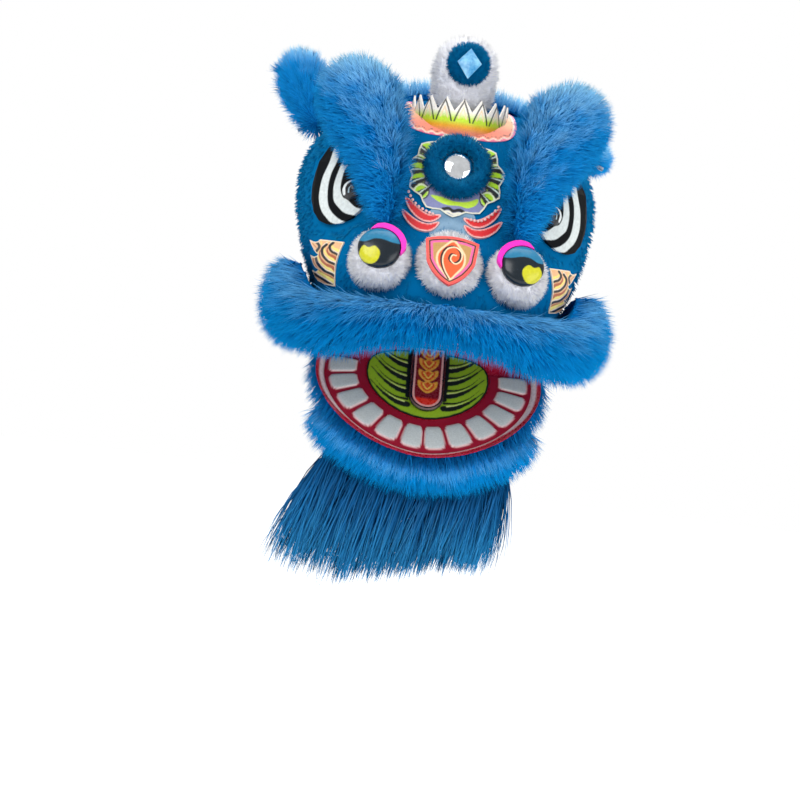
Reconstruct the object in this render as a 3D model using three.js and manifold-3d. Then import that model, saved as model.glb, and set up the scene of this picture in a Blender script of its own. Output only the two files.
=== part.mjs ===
// Southern lion dance head: a hollow dome with a broad bill, fur brows, a fur lip roll, a horn, a mirror
// and ears, and a hinged lower jaw that carries teeth, a tongue and a beard.
// Millimetres, +Z up, the face towards -Y. The origin is the middle of the hand bar inside the dome.
// Left and right are the lion's own: its left side is at +X.
import * as THREE from "three";
import { mergeVertices } from "three/addons/utils/BufferGeometryUtils.js";
import Module from "manifold-3d";

const wasm = await Module();
wasm.setup();

// Walls and gaps
const WALL = 3; // paper and cloth of the dome
const GAP = 0.4; // between a piece and what it sits on
const PANEL = 4; // painted panels stand this far off the dome
const EYE_LIFT = 10; // front of the eye plates above the dome

// Dome: level sections from the rim to the crown, with the squareness of each outline
const SHELL_SECTIONS = [
  { z: -60, halfWidth: 236, front: -312, back: 200, power: 2.5 },
  { z: 0, halfWidth: 242, front: -320, back: 215, power: 2.5 },
  { z: 50, halfWidth: 262, front: -302, back: 226, power: 2.5 },
  { z: 100, halfWidth: 278, front: -262, back: 234, power: 2.4 },
  { z: 150, halfWidth: 289, front: -226, back: 238, power: 2.4 },
  { z: 210, halfWidth: 292, front: -204, back: 238, power: 2.5 },
  { z: 270, halfWidth: 276, front: -184, back: 224, power: 2.4 },
  { z: 325, halfWidth: 232, front: -152, back: 190, power: 2.2 },
  { z: 365, halfWidth: 160, front: -108, back: 138, power: 2.1 },
  { z: 388, halfWidth: 70, front: -44, back: 68, power: 2 },
];
const SHELL_STEPS = 10;
const SHELL_AROUND = 30;
const SKIRT_Z = -230; // the filled dome reaches down to here when it trims other pieces

// Bars across the inside
const HAND_BAR = { radius: 14, y: 0, z: 0 };
const JAW_ROD = { radius: 5, y: -40, z: -45 };

// Fur roll round the bill: turn in degrees from the front, middle height, half height, half thickness
const LIP_SECTIONS = [
  { turn: 0, rise: -40, tall: 52, thick: 58 },
  { turn: 20, rise: -46, tall: 58, thick: 58 },
  { turn: 40, rise: -60, tall: 70, thick: 59 },
  { turn: 60, rise: -58, tall: 71, thick: 60 },
  { turn: 75, rise: -41, tall: 85, thick: 60 },
  { turn: 87, rise: -22, tall: 86, thick: 58 },
  { turn: 95, rise: 0, tall: 60, thick: 44 },
  { turn: 99, rise: 12, tall: 20, thick: 14 },
];
const LIP_OVERLAP = 12; // share of the roll's thickness that the bill's edge takes away
const LIP_STEPS = 24;

// Fur brow, from its point beside the nose to its round top: middle line, half width, half depth
const BROW_SECTIONS = [
  { x: 127, y: -272, z: 100, wide: 12, deep: 12 },
  { x: 129, y: -270, z: 130, wide: 30, deep: 30 },
  { x: 135, y: -262, z: 170, wide: 42, deep: 40 },
  { x: 145, y: -246, z: 227, wide: 60, deep: 54 },
  { x: 169, y: -222, z: 293, wide: 81, deep: 66 },
  { x: 198, y: -190, z: 356, wide: 93, deep: 74 },
  { x: 212, y: -168, z: 404, wide: 78, deep: 62 },
  { x: 214, y: -158, z: 436, wide: 34, deep: 30 },
  { x: 216, y: -156, z: 444, wide: 12, deep: 10 },
];

// Fur trim over the crown, from the middle to the end above the ear
const CROWN_SECTIONS = [
  { x: 0, y: 42, z: 394, wide: 36, deep: 36 },
  { x: 70, y: 44, z: 390, wide: 36, deep: 36 },
  { x: 130, y: 50, z: 376, wide: 37, deep: 37 },
  { x: 168, y: 58, z: 362, wide: 33, deep: 33 },
  { x: 191, y: 64, z: 349, wide: 22, deep: 22 },
  { x: 201, y: 67, z: 342, wide: 9, deep: 9 },
];

// Horn from its foot on the forehead to its round top
const HORN_SECTIONS = [
  { x: 0, y: -58, z: 340, wide: 52, deep: 54 },
  { x: 0, y: -64, z: 385, wide: 62, deep: 72 },
  { x: 0, y: -70, z: 425, wide: 66, deep: 76 },
  { x: 0, y: -76, z: 465, wide: 66, deep: 70 },
  { x: 0, y: -80, z: 497, wide: 53, deep: 54 },
  { x: 0, y: -80, z: 515, wide: 22, deep: 22 },
];
const HORN_DISC = { radius: 43, thick: 14, y: -149, z: 460, tilt: 4 };
const GEM = { halfWidth: 24, above: 28, below: 32, girdle: 5, height: 17, table: 0.1 };

// Standing collar of flame petals round the foot of the horn
const COLLAR = { y: -64, foot: [108, 90], top: [94, 102], footZ: 290, topZ: 366, petal: 26, petals: 9 };
const COLLAR_SPAN = 96; // degrees to each side of the front

// Forehead plaque, fur ring and mirror
const PLAQUE = { halfWidth: 92, halfHeight: 78, z: 241, scallops: 11, scallop: 0.055 };
const MIRROR = { z: 254, radius: 31, bulge: 10, edge: 5, tilt: 22 };
const MIRROR_RING = { middle: 49.5, tube: 17.5 };

// Eye plate and pupil, in the eye's own plane; yaw turns that plane out to the side
const EYE = { x: 220, z: 200, yaw: 32, out: 67, in: 70, above: 92, below: 84 };
const PUPIL = { x: 190, z: 186, radius: 25 };

// Nose and nostrils
const NOSE = { y: -296, z: 64, halfWidth: 67, halfHeight: 72, depth: 52, lean: 28 };
const CREST = { halfWidth: 51, above: 48, below: 54, thick: 8, y: -336, z: 75, lean: 26 };
const NOSTRIL = { x: 131, y: -290, z: 57, radius: 62 };
const DOME = { radius: 41, bulge: 13, edge: 8, x: 137, y: -334, z: 82, lean: 28, yaw: -4 };
const RIM = { radius: 52, inner: 41.5, from: 62, to: 192, thick: 12 };

// Painted folds beside the nose bridge: two bands that climb outwards
const STRIPE = { inner: 34, outer: 98, z: 126, rise: 26, band: 22, bands: 2, pitch: 28 };

// Flame panel on the cheek: tongues that lick outwards, in the cheek's own plane
const CHEEK = { x: 238, z: 42, yaw: 48, root: -56, tip: 58, tongues: 3, pitch: 29, tongue: 24 };

// Ears: pin place, lean outwards, then sections along the ear from below the pin to the tip
const EAR = { x: 275, y: 56, z: 316, lean: 24, pinRadius: 4, pinReach: 37, leg: 34 };
const EAR_SECTIONS = [
  { x: 0, y: 0, z: -24, wide: 10, deep: 10 },
  { x: 0, y: 0, z: -4, wide: 30, deep: 24 },
  { x: 0, y: 0, z: 42, wide: 50, deep: 33 },
  { x: 0, y: 0, z: 90, wide: 56, deep: 36 },
  { x: 0, y: 0, z: 126, wide: 44, deep: 30 },
  { x: 0, y: 0, z: 148, wide: 16, deep: 12 },
];

// Lower jaw in its own plane, from the rod forwards: a dish with a raised lip
const JAW = { open: 55, halfWidth: 222, middle: 150, front: 178, rear: 108, power: 1.8, rearPower: 3 };
const JAW_SETBACK = 49; // the inner outlines lie this much farther back
const JAW_WALL = 4;
const JAW_ARM = { x: 176, width: 16, length: 74, height: 14, eye: 11 };
const JAW_AROUND = 28;
// Height of the dish by share of its outline: level floor, sloping gum bed, raised lip
const DISH_SECTIONS = [
  { share: 1, height: 17 },
  { share: 0.96, height: 4 },
  { share: 0.92, height: -2 },
  { share: 0.56, height: -14 },
];
const TEETH = { count: 12, inner: 0.62, outer: 0.87, gap: 0.1, lift: 6 };
const GUM = { inner: 0.56, outer: 0.92, lift: 2.4, steps: 8 };
const FLOOR = { outer: 0.545, lift: 2.4 };
const TONGUE = { halfWidth: 34, from: 66, to: 210, thick: 9, bevel: 3 };

// Fur below the chin, by turn round the jaw's edge, and the beard that hangs from it
const CHIN_SECTIONS = [
  { turn: 0, wide: 30, deep: 34 },
  { turn: 30, wide: 30, deep: 34 },
  { turn: 52, wide: 28, deep: 30 },
  { turn: 64, wide: 18, deep: 18 },
  { turn: 69, wide: 6, deep: 6 },
];
const CHIN_DROP = 24; // of the fur's middle below the jaw's edge, across the jaw's plane
const BEARD = { reach: 0.5, below: 8, locks: 10, radius: 16, length: 195, vary: 24, drift: -58 };

const TUFTS = { brow: 0.13, lip: 0.12, crown: 0.15, ear: 0.13, chin: 0.14, horn: 0.06, pad: 0.05 };

const radians = THREE.MathUtils.degToRad;
const vector = (x, y, z) => new THREE.Vector3(x, y, z);
// The left ear lies back and the right one stands: flap is the turn back on the ear's pin, in degrees
const SIDES = [
  { name: "left", sign: 1, flap: 76 },
  { name: "right", sign: -1, flap: 0 },
];

// A smooth curve through the rows of a table: each column is a cubic in the row's number.
function smoothTable(rows) {
  const columns = Object.keys(rows[0]);
  const places = rows.map((row, index) => index);
  const values = rows.flatMap((row) => columns.map((column) => row[column]));
  const curve = new THREE.CubicInterpolant(places, values, columns.length);
  return (place) => {
    const found = curve.evaluate(place);
    return Object.fromEntries(columns.map((column, index) => [column, found[index]]));
  };
}

// A table of one half and its mirror image, as one table from end to end.
function bothHalves(rows, mirrored) {
  const opposite = rows.slice(1).reverse();
  return [...opposite.map((row) => ({ ...row, [mirrored]: -row[mirrored] })), ...rows];
}

// A closed solid from points and triangles, turned so that its faces point out.
function solidFrom(points, faces) {
  const corner = (index) => points[index];
  const volume = faces.reduce(
    (sum, [a, b, c]) => sum + corner(a).dot(corner(b).clone().cross(corner(c))),
    0,
  );
  const facing = volume < 0 ? faces.map(([a, b, c]) => [a, c, b]) : faces;
  return new wasm.Manifold(
    new wasm.Mesh({
      numProp: 3,
      vertProperties: new Float32Array(points.flatMap((point) => point.toArray())),
      triVerts: new Uint32Array(facing.flat()),
    }),
  );
}

// A solid from one of the three.js geometries, with an optional placement.
function solidOf(geometry, placement = new THREE.Matrix4()) {
  const bare = geometry.clone().applyMatrix4(placement);
  bare.deleteAttribute("normal");
  bare.deleteAttribute("uv");
  const merged = mergeVertices(bare, 1e-3);
  const place = merged.getAttribute("position");
  const points = Array.from({ length: place.count }, (none, i) =>
    new THREE.Vector3().fromBufferAttribute(place, i),
  );
  const index = Array.from(merged.index.array);
  const faces = [];
  for (let i = 0; i < index.length; i += 3) faces.push(index.slice(i, i + 3));
  return solidFrom(points, faces);
}

function geometryOf(solid) {
  const mesh = solid.getMesh();
  const geometry = new THREE.BufferGeometry();
  geometry.setAttribute("position", new THREE.BufferAttribute(mesh.vertProperties, 3));
  geometry.setIndex(new THREE.BufferAttribute(mesh.triVerts, 1));
  geometry.computeVertexNormals();
  return geometry;
}

// A body through rings of points, closed at each end by a fan to the end ring's middle.
function loft(rings) {
  const around = rings[0].length;
  const middle = (ring) =>
    ring.reduce((sum, point) => sum.add(point), vector(0, 0, 0)).divideScalar(around);
  const points = [middle(rings[0]), ...rings.flat(), middle(rings.at(-1))];
  const at = (ring, k) => 1 + ring * around + (k % around);
  const end = rings.length - 1;
  const faces = [];
  for (let k = 0; k < around; k++) {
    faces.push([0, at(0, k + 1), at(0, k)]);
    faces.push([points.length - 1, at(end, k), at(end, k + 1)]);
    for (let ring = 0; ring < end; ring++) {
      const [a, b] = [at(ring, k), at(ring, k + 1)];
      const [d, c] = [at(ring + 1, k), at(ring + 1, k + 1)];
      if ((end - ring + k) % 2) faces.push([a, b, c], [a, c, d]);
      else faces.push([a, b, d], [b, c, d]);
    }
  }
  return solidFrom(points, faces);
}

// A body swept along a table of x, y, z, half width and half depth. Its sections face the given way.
// Every second corner is drawn in by the share in tufts, so that the skin stands in staggered locks.
function sweep(rows, { steps, around, facing, tufts = 0, grow = 0 }) {
  const at = smoothTable(rows);
  const last = rows.length - 1;
  const reach = last / steps / 2;
  const middle = (place) => {
    const row = at(THREE.MathUtils.clamp(place, 0, last));
    return vector(row.x, row.y, row.z);
  };
  const rings = [];
  for (let step = 0; step <= steps; step++) {
    const place = (last * step) / steps;
    const { wide, deep } = at(place);
    const along = middle(place + reach).sub(middle(place - reach)).normalize();
    const side = along.clone().cross(facing).normalize();
    const front = side.clone().cross(along);
    rings.push(
      Array.from({ length: around }, (none, k) => {
        const angle = (2 * Math.PI * k) / around;
        const share = (steps - step + k) % 2 ? 1 - tufts : 1;
        return middle(place)
          .addScaledVector(side, (wide * share + grow) * Math.cos(angle))
          .addScaledVector(front, (deep * share + grow) * Math.sin(angle));
      }),
    );
  }
  return loft(rings);
}

// Placement of a piece that faces the viewer: yaw turns it to the side, lean tips it back.
function facingFront(place, yaw = 0, lean = 0) {
  const turned = new THREE.Euler(radians(90 - lean), 0, radians(yaw), "ZXY");
  return new THREE.Matrix4().makeRotationFromEuler(turned).setPosition(place);
}

// Dome skin: the point at a place between sections and a turn from the front, in radians.
const shellSection = smoothTable(SHELL_SECTIONS);
const SHELL_TOP = SHELL_SECTIONS.length - 1;
const rounded = (value, power) => Math.sign(value) * Math.abs(value) ** (2 / power);

function shellSkin(place, turn) {
  const { z, halfWidth, front, back, power } = shellSection(place);
  const x = halfWidth * rounded(Math.sin(turn), power);
  const y = (front + back) / 2 - ((back - front) / 2) * rounded(Math.cos(turn), power);
  return vector(x, y, z);
}

function shellNormal(place, turn) {
  const step = 0.02;
  const along = shellSkin(place + step, turn).sub(shellSkin(place - step, turn));
  const across = shellSkin(place, turn + step).sub(shellSkin(place, turn - step));
  return across.cross(along).normalize();
}

// Rings of the dome's skin from the rim to the crown, lifted along the skin's normal.
function shellRings(lift) {
  return Array.from({ length: SHELL_STEPS + 1 }, (none, step) => {
    const place = (SHELL_TOP * step) / SHELL_STEPS;
    return Array.from({ length: SHELL_AROUND }, (ignored, k) => {
      const turn = (2 * Math.PI * k) / SHELL_AROUND;
      const point = shellSkin(place, turn).addScaledVector(shellNormal(place, turn), lift);
      if (step === 0) point.setZ(SHELL_SECTIONS[0].z);
      return point;
    });
  });
}

// The dome filled solid and lifted: what sits on the dome is trimmed by it.
const filledDomes = new Map();
function filledDome(lift) {
  if (!filledDomes.has(lift)) {
    const rings = shellRings(lift);
    const skirt = rings[0].map((point) => point.clone().setZ(SKIRT_Z));
    filledDomes.set(lift, loft([skirt, ...rings]));
  }
  return filledDomes.get(lift);
}
const seated = (solid, lift = 0) => solid.subtract(filledDome(lift + GAP));

// The point of the dome's skin that shows at x, z from the front.
function facePoint(x, z) {
  let [low, high] = [0, SHELL_TOP];
  while (high - low > 1e-4) {
    const half = (low + high) / 2;
    if (shellSection(half).z < z) low = half;
    else high = half;
  }
  const { halfWidth, front, back, power } = shellSection(low);
  const depth = (1 - (Math.abs(x) / halfWidth) ** power) ** (1 / power);
  return vector(x, (front + back) / 2 - ((back - front) / 2) * depth, z);
}

// An outline carried through a layer of the dome's skin, from one lift to another.
function layerOnDome(shape, place, yaw, low, high) {
  const reach = 70;
  const prism = new THREE.ExtrudeGeometry(shape, {
    depth: 2 * reach,
    bevelEnabled: false,
    curveSegments: 4,
  });
  const layer = filledDome(high).subtract(filledDome(low));
  return solidOf(prism.translate(0, 0, -reach), facingFront(place, yaw)).intersect(layer);
}

// A panel that follows the dome.
const panelOnDome = ({ shape, place, yaw, lift }) => layerOnDome(shape, place, yaw, GAP, lift);

// The room that a panel needs in a piece that lies over it: a plain block round its outline.
function panelBed({ shape, place, yaw, lift }) {
  const box = new THREE.Box2().setFromPoints(shape.getPoints(4)).expandByScalar(GAP);
  const { min, max } = box;
  const block = new THREE.Shape([
    min,
    new THREE.Vector2(max.x, min.y),
    max,
    new THREE.Vector2(min.x, max.y),
  ]);
  return layerOnDome(block, place, yaw, -WALL, lift + GAP);
}

function headShell() {
  const inner = shellRings(-WALL).reverse();
  return loft([...inner, ...shellRings(0)]);
}

// A round bar across the dome, from wall to wall.
function crossBar({ radius, y, z }) {
  const length = 2 * SHELL_SECTIONS[3].halfWidth;
  const across = new THREE.Matrix4().makeRotationZ(radians(90)).setPosition(0, y, z);
  const bar = solidOf(new THREE.CylinderGeometry(radius, radius, length, 16), across);
  return bar.intersect(filledDome(-WALL - GAP));
}

function lipRoll() {
  const table = bothHalves(LIP_SECTIONS, "turn");
  const rows = table.map(({ turn, rise, tall, thick }) => {
    const skin = shellSkin(0, radians(turn));
    const outward = shellNormal(0, radians(turn)).setZ(0).normalize();
    const middle = skin.addScaledVector(outward, thick - LIP_OVERLAP);
    return { x: middle.x, y: middle.y, z: rise, wide: thick, deep: tall };
  });
  const up = vector(0, 0, 1);
  let fur = seated(sweep(rows, { steps: LIP_STEPS, around: 10, facing: up, tufts: TUFTS.lip }));
  for (const { sign } of SIDES) {
    fur = fur.subtract(panelBed(cheekPanel(sign))).subtract(nostrilBall(sign, GAP));
  }
  return fur;
}

const FRONT = vector(0, -1, 0);
const mirrorRows = (rows, sign) => rows.map((row) => ({ ...row, x: row.x * sign }));

function eyeShape(sign) {
  const shape = new THREE.Shape();
  const [outer, inner] = [sign * EYE.out, -sign * EYE.in];
  const { above, below } = EYE;
  shape.moveTo(outer * 0.55, above);
  shape.bezierCurveTo(outer * 0.9, above * 0.6, outer, above * 0.2, outer, -below * 0.1);
  shape.bezierCurveTo(outer, -below * 0.62, outer * 0.55, -below, 0, -below);
  shape.bezierCurveTo(inner * 0.6, -below, inner, -below * 0.7, inner, -below * 0.25);
  shape.bezierCurveTo(inner, above * 0.35, outer * 0.2, above * 0.8, outer * 0.55, above);
  return shape;
}

const eyePanel = (sign) => ({
  shape: eyeShape(sign),
  place: facePoint(sign * EYE.x, EYE.z),
  yaw: sign * EYE.yaw,
  lift: EYE_LIFT,
});

function pupil(sign) {
  const place = facePoint(sign * PUPIL.x, PUPIL.z);
  const ball = new THREE.SphereGeometry(PUPIL.radius, 12, 8);
  return seated(solidOf(ball, new THREE.Matrix4().setPosition(place)), EYE_LIFT);
}

function brow(sign) {
  const rows = mirrorRows(BROW_SECTIONS, sign);
  const fur = sweep(rows, { steps: 14, around: 12, facing: FRONT, tufts: TUFTS.brow });
  return seated(fur).subtract(panelBed(eyePanel(sign))).subtract(nostrilBall(sign, GAP));
}

function crownTrim() {
  const rows = bothHalves(CROWN_SECTIONS, "x");
  const fur = sweep(rows, { steps: 16, around: 8, facing: FRONT, tufts: TUFTS.crown });
  return seated(fur).subtract(hornBody(GAP));
}

function hornBody(grow = 0) {
  return sweep(HORN_SECTIONS, { steps: 8, around: 12, facing: FRONT, tufts: TUFTS.horn, grow });
}

// A round cushion: a lathe profile with a rounded edge, its flat back at the origin.
function cushion(radius, thick, sides) {
  const corner = thick * 0.6;
  const profile = [
    new THREE.Vector2(0, 0),
    new THREE.Vector2(radius - corner * 0.3, 0),
    new THREE.Vector2(radius, thick - corner),
    new THREE.Vector2(radius - corner * 0.45, thick - corner * 0.25),
    new THREE.Vector2(radius * 0.6, thick),
    new THREE.Vector2(0, thick),
  ];
  return new THREE.LatheGeometry(profile, sides).rotateX(radians(90));
}

function hornDisc() {
  const { radius, thick, y, z, tilt } = HORN_DISC;
  const behind = 14;
  const place = facingFront(vector(0, y + behind, z), 0, tilt);
  return solidOf(cushion(radius, thick + behind, 18), place).subtract(hornBody(GAP));
}

// A kite-shaped stone: girdle, four crown facets and a small table.
function hornGem() {
  const { halfWidth, above, below, girdle, height, table } = GEM;
  const kite = (share, lift) => [
    vector(0, above * share, lift),
    vector(-halfWidth * share, 0, lift),
    vector(0, -below * share, lift),
    vector(halfWidth * share, 0, lift),
  ];
  const stone = loft([kite(1, 0), kite(1, girdle), kite(table, height)]);
  const { thick, y, z, tilt } = HORN_DISC;
  const forward = facingFront(vector(0, 0, 0), 0, tilt);
  const front = vector(0, 0, thick + GAP).applyMatrix4(forward);
  const place = facingFront(vector(0, y, z).add(front), 0, tilt);
  return stone.transform(place.toArray());
}

function hornCollar() {
  const { y, foot, top, footZ, topZ, petal, petals } = COLLAR;
  const steps = 2 * petals;
  const spot = ([halfWidth, reach], turn, inset, z) =>
    vector((halfWidth - inset) * Math.sin(turn), y - (reach - inset) * Math.cos(turn), z);
  const rings = Array.from({ length: steps + 1 }, (none, step) => {
    const turn = radians(COLLAR_SPAN) * ((2 * step) / steps - 1);
    const rise = topZ + petal * (step % 2);
    return [
      spot(foot, turn, 0, footZ),
      spot(top, turn, 0, rise),
      spot(top, turn, WALL, rise),
      spot(foot, turn, WALL, footZ),
    ];
  });
  return seated(loft(rings)).subtract(panelBed(plaquePanel())).subtract(mirrorRing());
}

function plaqueShape() {
  const { halfWidth, halfHeight, scallops, scallop } = PLAQUE;
  const around = 4 * scallops;
  const points = Array.from({ length: around }, (none, k) => {
    const turn = (2 * Math.PI * k) / around;
    const share = 1 + scallop * Math.cos(scallops * turn);
    return new THREE.Vector2(
      halfWidth * share * Math.sin(turn),
      -halfHeight * share * Math.cos(turn),
    );
  });
  return new THREE.Shape(points);
}

const plaquePanel = () => ({
  shape: plaqueShape(),
  place: facePoint(0, PLAQUE.z),
  yaw: 0,
  lift: PANEL,
});

function mirrorRing() {
  const { middle, tube } = MIRROR_RING;
  const ring = new THREE.TorusGeometry(middle, tube, 8, 18).translate(0, 0, tube * 0.55);
  return seated(solidOf(ring, facingFront(facePoint(0, MIRROR.z), 0, MIRROR.tilt)), PANEL);
}

function mirror() {
  const { radius, bulge, edge, tilt, z } = MIRROR;
  const body = domeBody(radius, PANEL + edge, bulge).translate(0, 0, PANEL + edge);
  return seated(solidOf(body, facingFront(facePoint(0, z), 0, tilt)), PANEL);
}

// A round fur pad: an ellipsoid whose every second corner is drawn in a little.
function furBall(half, place, grow = 0) {
  const rings = 8;
  const around = 12;
  const rows = [];
  for (let ring = 1; ring < rings; ring++) {
    const fall = (Math.PI * ring) / rings;
    rows.push(
      Array.from({ length: around }, (none, k) => {
        const turn = (2 * Math.PI * k) / around;
        const share = (ring + k) % 2 ? 1 : 1 - TUFTS.pad;
        return vector(
          (half.x * share + grow) * Math.sin(fall) * Math.cos(turn),
          (half.y * share + grow) * Math.sin(fall) * Math.sin(turn),
          (half.z * share + grow) * Math.cos(fall),
        ).applyMatrix4(place);
      }),
    );
  }
  return loft(rows);
}

function crestShape(grow = 0) {
  const { halfWidth, above, below } = CREST;
  const [w, a, b] = [halfWidth + grow, above + grow, below + grow * 1.4];
  const shape = new THREE.Shape();
  shape.moveTo(0, -b);
  shape.quadraticCurveTo(w * 0.62, -b * 0.72, w * 0.9, -b * 0.1);
  shape.lineTo(w, a * 0.8);
  shape.quadraticCurveTo(0, a * 1.2, -w, a * 0.8);
  shape.lineTo(-w * 0.9, -b * 0.1);
  shape.quadraticCurveTo(-w * 0.62, -b * 0.72, 0, -b);
  return shape;
}

function crestPlate(grow = 0) {
  const { thick, y, z, lean } = CREST;
  const plate = new THREE.ExtrudeGeometry(crestShape(grow), {
    depth: thick + grow * 60,
    bevelEnabled: false,
    curveSegments: 8,
  }).translate(0, 0, -thick / 2 - grow);
  return solidOf(plate, facingFront(vector(0, y, z), 0, lean));
}

function nosePad() {
  const { y, z, halfWidth, halfHeight, depth, lean } = NOSE;
  const place = facingFront(vector(0, y, z), 0, lean);
  const pad = furBall(vector(halfWidth, halfHeight, depth), place);
  return seated(pad).subtract(crestPlate(GAP));
}

const domePlace = (sign) =>
  facingFront(vector(sign * DOME.x, DOME.y, DOME.z), -sign * DOME.yaw, DOME.lean);

// A painted dome: a flat back, a short edge and a bulging front.
function domeBody(radius, edge, bulge) {
  const profile = [new THREE.Vector2(0, -edge), new THREE.Vector2(radius, -edge)];
  for (let k = 0; k <= 4; k++) {
    const turn = (Math.PI / 2) * (k / 4);
    profile.push(new THREE.Vector2(k < 4 ? radius * Math.cos(turn) : 0, bulge * Math.sin(turn)));
  }
  return new THREE.LatheGeometry(profile, 16).rotateX(radians(90));
}

const nostrilDome = (sign) =>
  solidOf(domeBody(DOME.radius, DOME.edge, DOME.bulge), domePlace(sign));

// A crescent round the upper inner edge of a nostril dome.
function rimBody(sign, grow = 0) {
  const { radius, inner, from, to, thick } = RIM;
  const middle = (from + to) / 2;
  const half = (to - from) / 2 + grow;
  const steps = 8;
  const shape = new THREE.Shape();
  const edge = (share) => {
    const turn = radians(middle + half * share);
    return [sign > 0 ? turn : Math.PI - turn, share];
  };
  const spots = [];
  for (let k = 0; k <= steps; k++) {
    const [turn, share] = edge((2 * k) / steps - 1);
    const reach = inner + (radius - inner) * (1 - share ** 4) + 1 + grow;
    spots.push(new THREE.Vector2(reach * Math.cos(turn), reach * Math.sin(turn)));
  }
  for (let k = steps; k >= 0; k--) {
    const [turn] = edge((2 * k) / steps - 1);
    const reach = inner - grow;
    spots.push(new THREE.Vector2(reach * Math.cos(turn), reach * Math.sin(turn)));
  }
  shape.setFromPoints(spots);
  const body = new THREE.ExtrudeGeometry(shape, { depth: thick + 2 * grow, bevelEnabled: false });
  return solidOf(body.translate(0, 0, -DOME.edge - grow), domePlace(sign));
}

function nostrilBall(sign, grow = 0) {
  const { x, y, z, radius } = NOSTRIL;
  const place = new THREE.Matrix4().setPosition(sign * x, y, z);
  return furBall(vector(radius, radius, radius), place, grow);
}

function nostril(sign) {
  const bed = solidOf(domeBody(DOME.radius + GAP, DOME.edge + GAP, 60), domePlace(sign));
  return seated(nostrilBall(sign)).subtract(bed).subtract(rimBody(sign, GAP));
}

// Bands that climb outwards beside the nose bridge, joined along their outer end.
function stripeShape(sign) {
  const { inner, outer, rise, band, bands, pitch } = STRIPE;
  const shape = new THREE.Shape();
  const across = (share) => sign * (inner + (outer - inner) * share);
  const low = (index) => index * pitch;
  shape.moveTo(across(1), low(0) + rise);
  for (let index = 0; index < bands; index++) {
    const base = low(index);
    shape.quadraticCurveTo(across(0.55), base, across(0), base);
    shape.quadraticCurveTo(across(0.5), base + band * 0.55, across(0.86), base + band + rise);
  }
  shape.lineTo(across(1), low(bands - 1) + band + rise);
  return shape;
}

const stripePanel = (sign) => ({
  shape: stripeShape(sign),
  place: facePoint(0, STRIPE.z),
  yaw: 0,
  lift: PANEL,
});

function flameShape(sign) {
  const { root, tip, tongues, pitch, tongue } = CHEEK;
  const shape = new THREE.Shape();
  const out = (value) => sign * value;
  const foot = (-tongues * pitch) / 2;
  shape.moveTo(out(root), foot);
  for (let index = 0; index < tongues; index++) {
    const base = foot + index * pitch;
    shape.quadraticCurveTo(out(tip * 0.5), base, out(tip), base + pitch * 0.9);
    shape.quadraticCurveTo(out(tip * 0.4), base + tongue * 0.8, out(tip * 0.2), base + pitch);
  }
  shape.lineTo(out(root), foot + tongues * pitch);
  return shape;
}

const cheekPanel = (sign) => ({
  shape: flameShape(sign),
  place: facePoint(sign * CHEEK.x, CHEEK.z),
  yaw: sign * CHEEK.yaw,
  lift: PANEL,
});

const pinRod = (radius, length) =>
  new THREE.CylinderGeometry(radius, radius, length, 10).rotateZ(radians(90));

// Ear in its own frame, with the pin through its foot along X.
function earBody() {
  const fur = sweep(EAR_SECTIONS, { steps: 10, around: 8, facing: FRONT, tufts: TUFTS.ear });
  return fur.subtract(solidOf(pinRod(EAR.pinRadius + GAP, 4 * EAR.pinReach)));
}

// Ear pin: a plain bent rod, through the ear's foot and then across to the dome.
function earPin(sign) {
  const { x, y, z, lean, pinRadius, pinReach, leg } = EAR;
  const leaning = new THREE.Matrix4().makeRotationY(sign * radians(lean)).setPosition(sign * x, y, z);
  const bend = vector(-sign * pinReach, 0, 0).applyMatrix4(leaning);
  const level = new THREE.Matrix4().setPosition(bend.x - (sign * leg) / 2, y, bend.z);
  const pin = solidOf(pinRod(pinRadius, 2 * pinReach + pinRadius), leaning);
  return seated(pin.add(solidOf(pinRod(pinRadius, leg + pinRadius), level)));
}

// Jaw outline in the jaw's plane, by turn from the front, shrunk to a share about its middle.
function jawEdge(share, turn) {
  const ahead = Math.cos(turn) > 0;
  const power = ahead ? JAW.power : JAW.rearPower;
  const reach = ahead ? JAW.front : JAW.rear;
  const x = share * JAW.halfWidth * rounded(Math.sin(turn), power);
  const middle = JAW.middle - JAW_SETBACK * (1 - share);
  return vector(x, -middle - share * reach * rounded(Math.cos(turn), power), 0);
}

// Height of the dish at a share of its outline, straight between the sections.
function dishHeight(share) {
  const sections = DISH_SECTIONS;
  const next = sections.findIndex((section) => section.share <= share);
  if (next < 0) return sections.at(-1).height;
  if (next === 0) return sections[0].height;
  const [high, low] = [sections[next - 1], sections[next]];
  const part = (share - low.share) / (high.share - low.share);
  return THREE.MathUtils.lerp(low.height, high.height, part);
}

function dishRing(share, lift) {
  return Array.from({ length: JAW_AROUND }, (none, k) =>
    jawEdge(share, (2 * Math.PI * k) / JAW_AROUND).setZ(dishHeight(share) + lift),
  );
}

function dishBody(low, high) {
  const shares = DISH_SECTIONS.map((section) => section.share);
  const upper = [...shares].reverse().map((share) => dishRing(share, high));
  const under = shares.map((share) => dishRing(share, low));
  return loft([...upper, ...under]);
}

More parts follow.
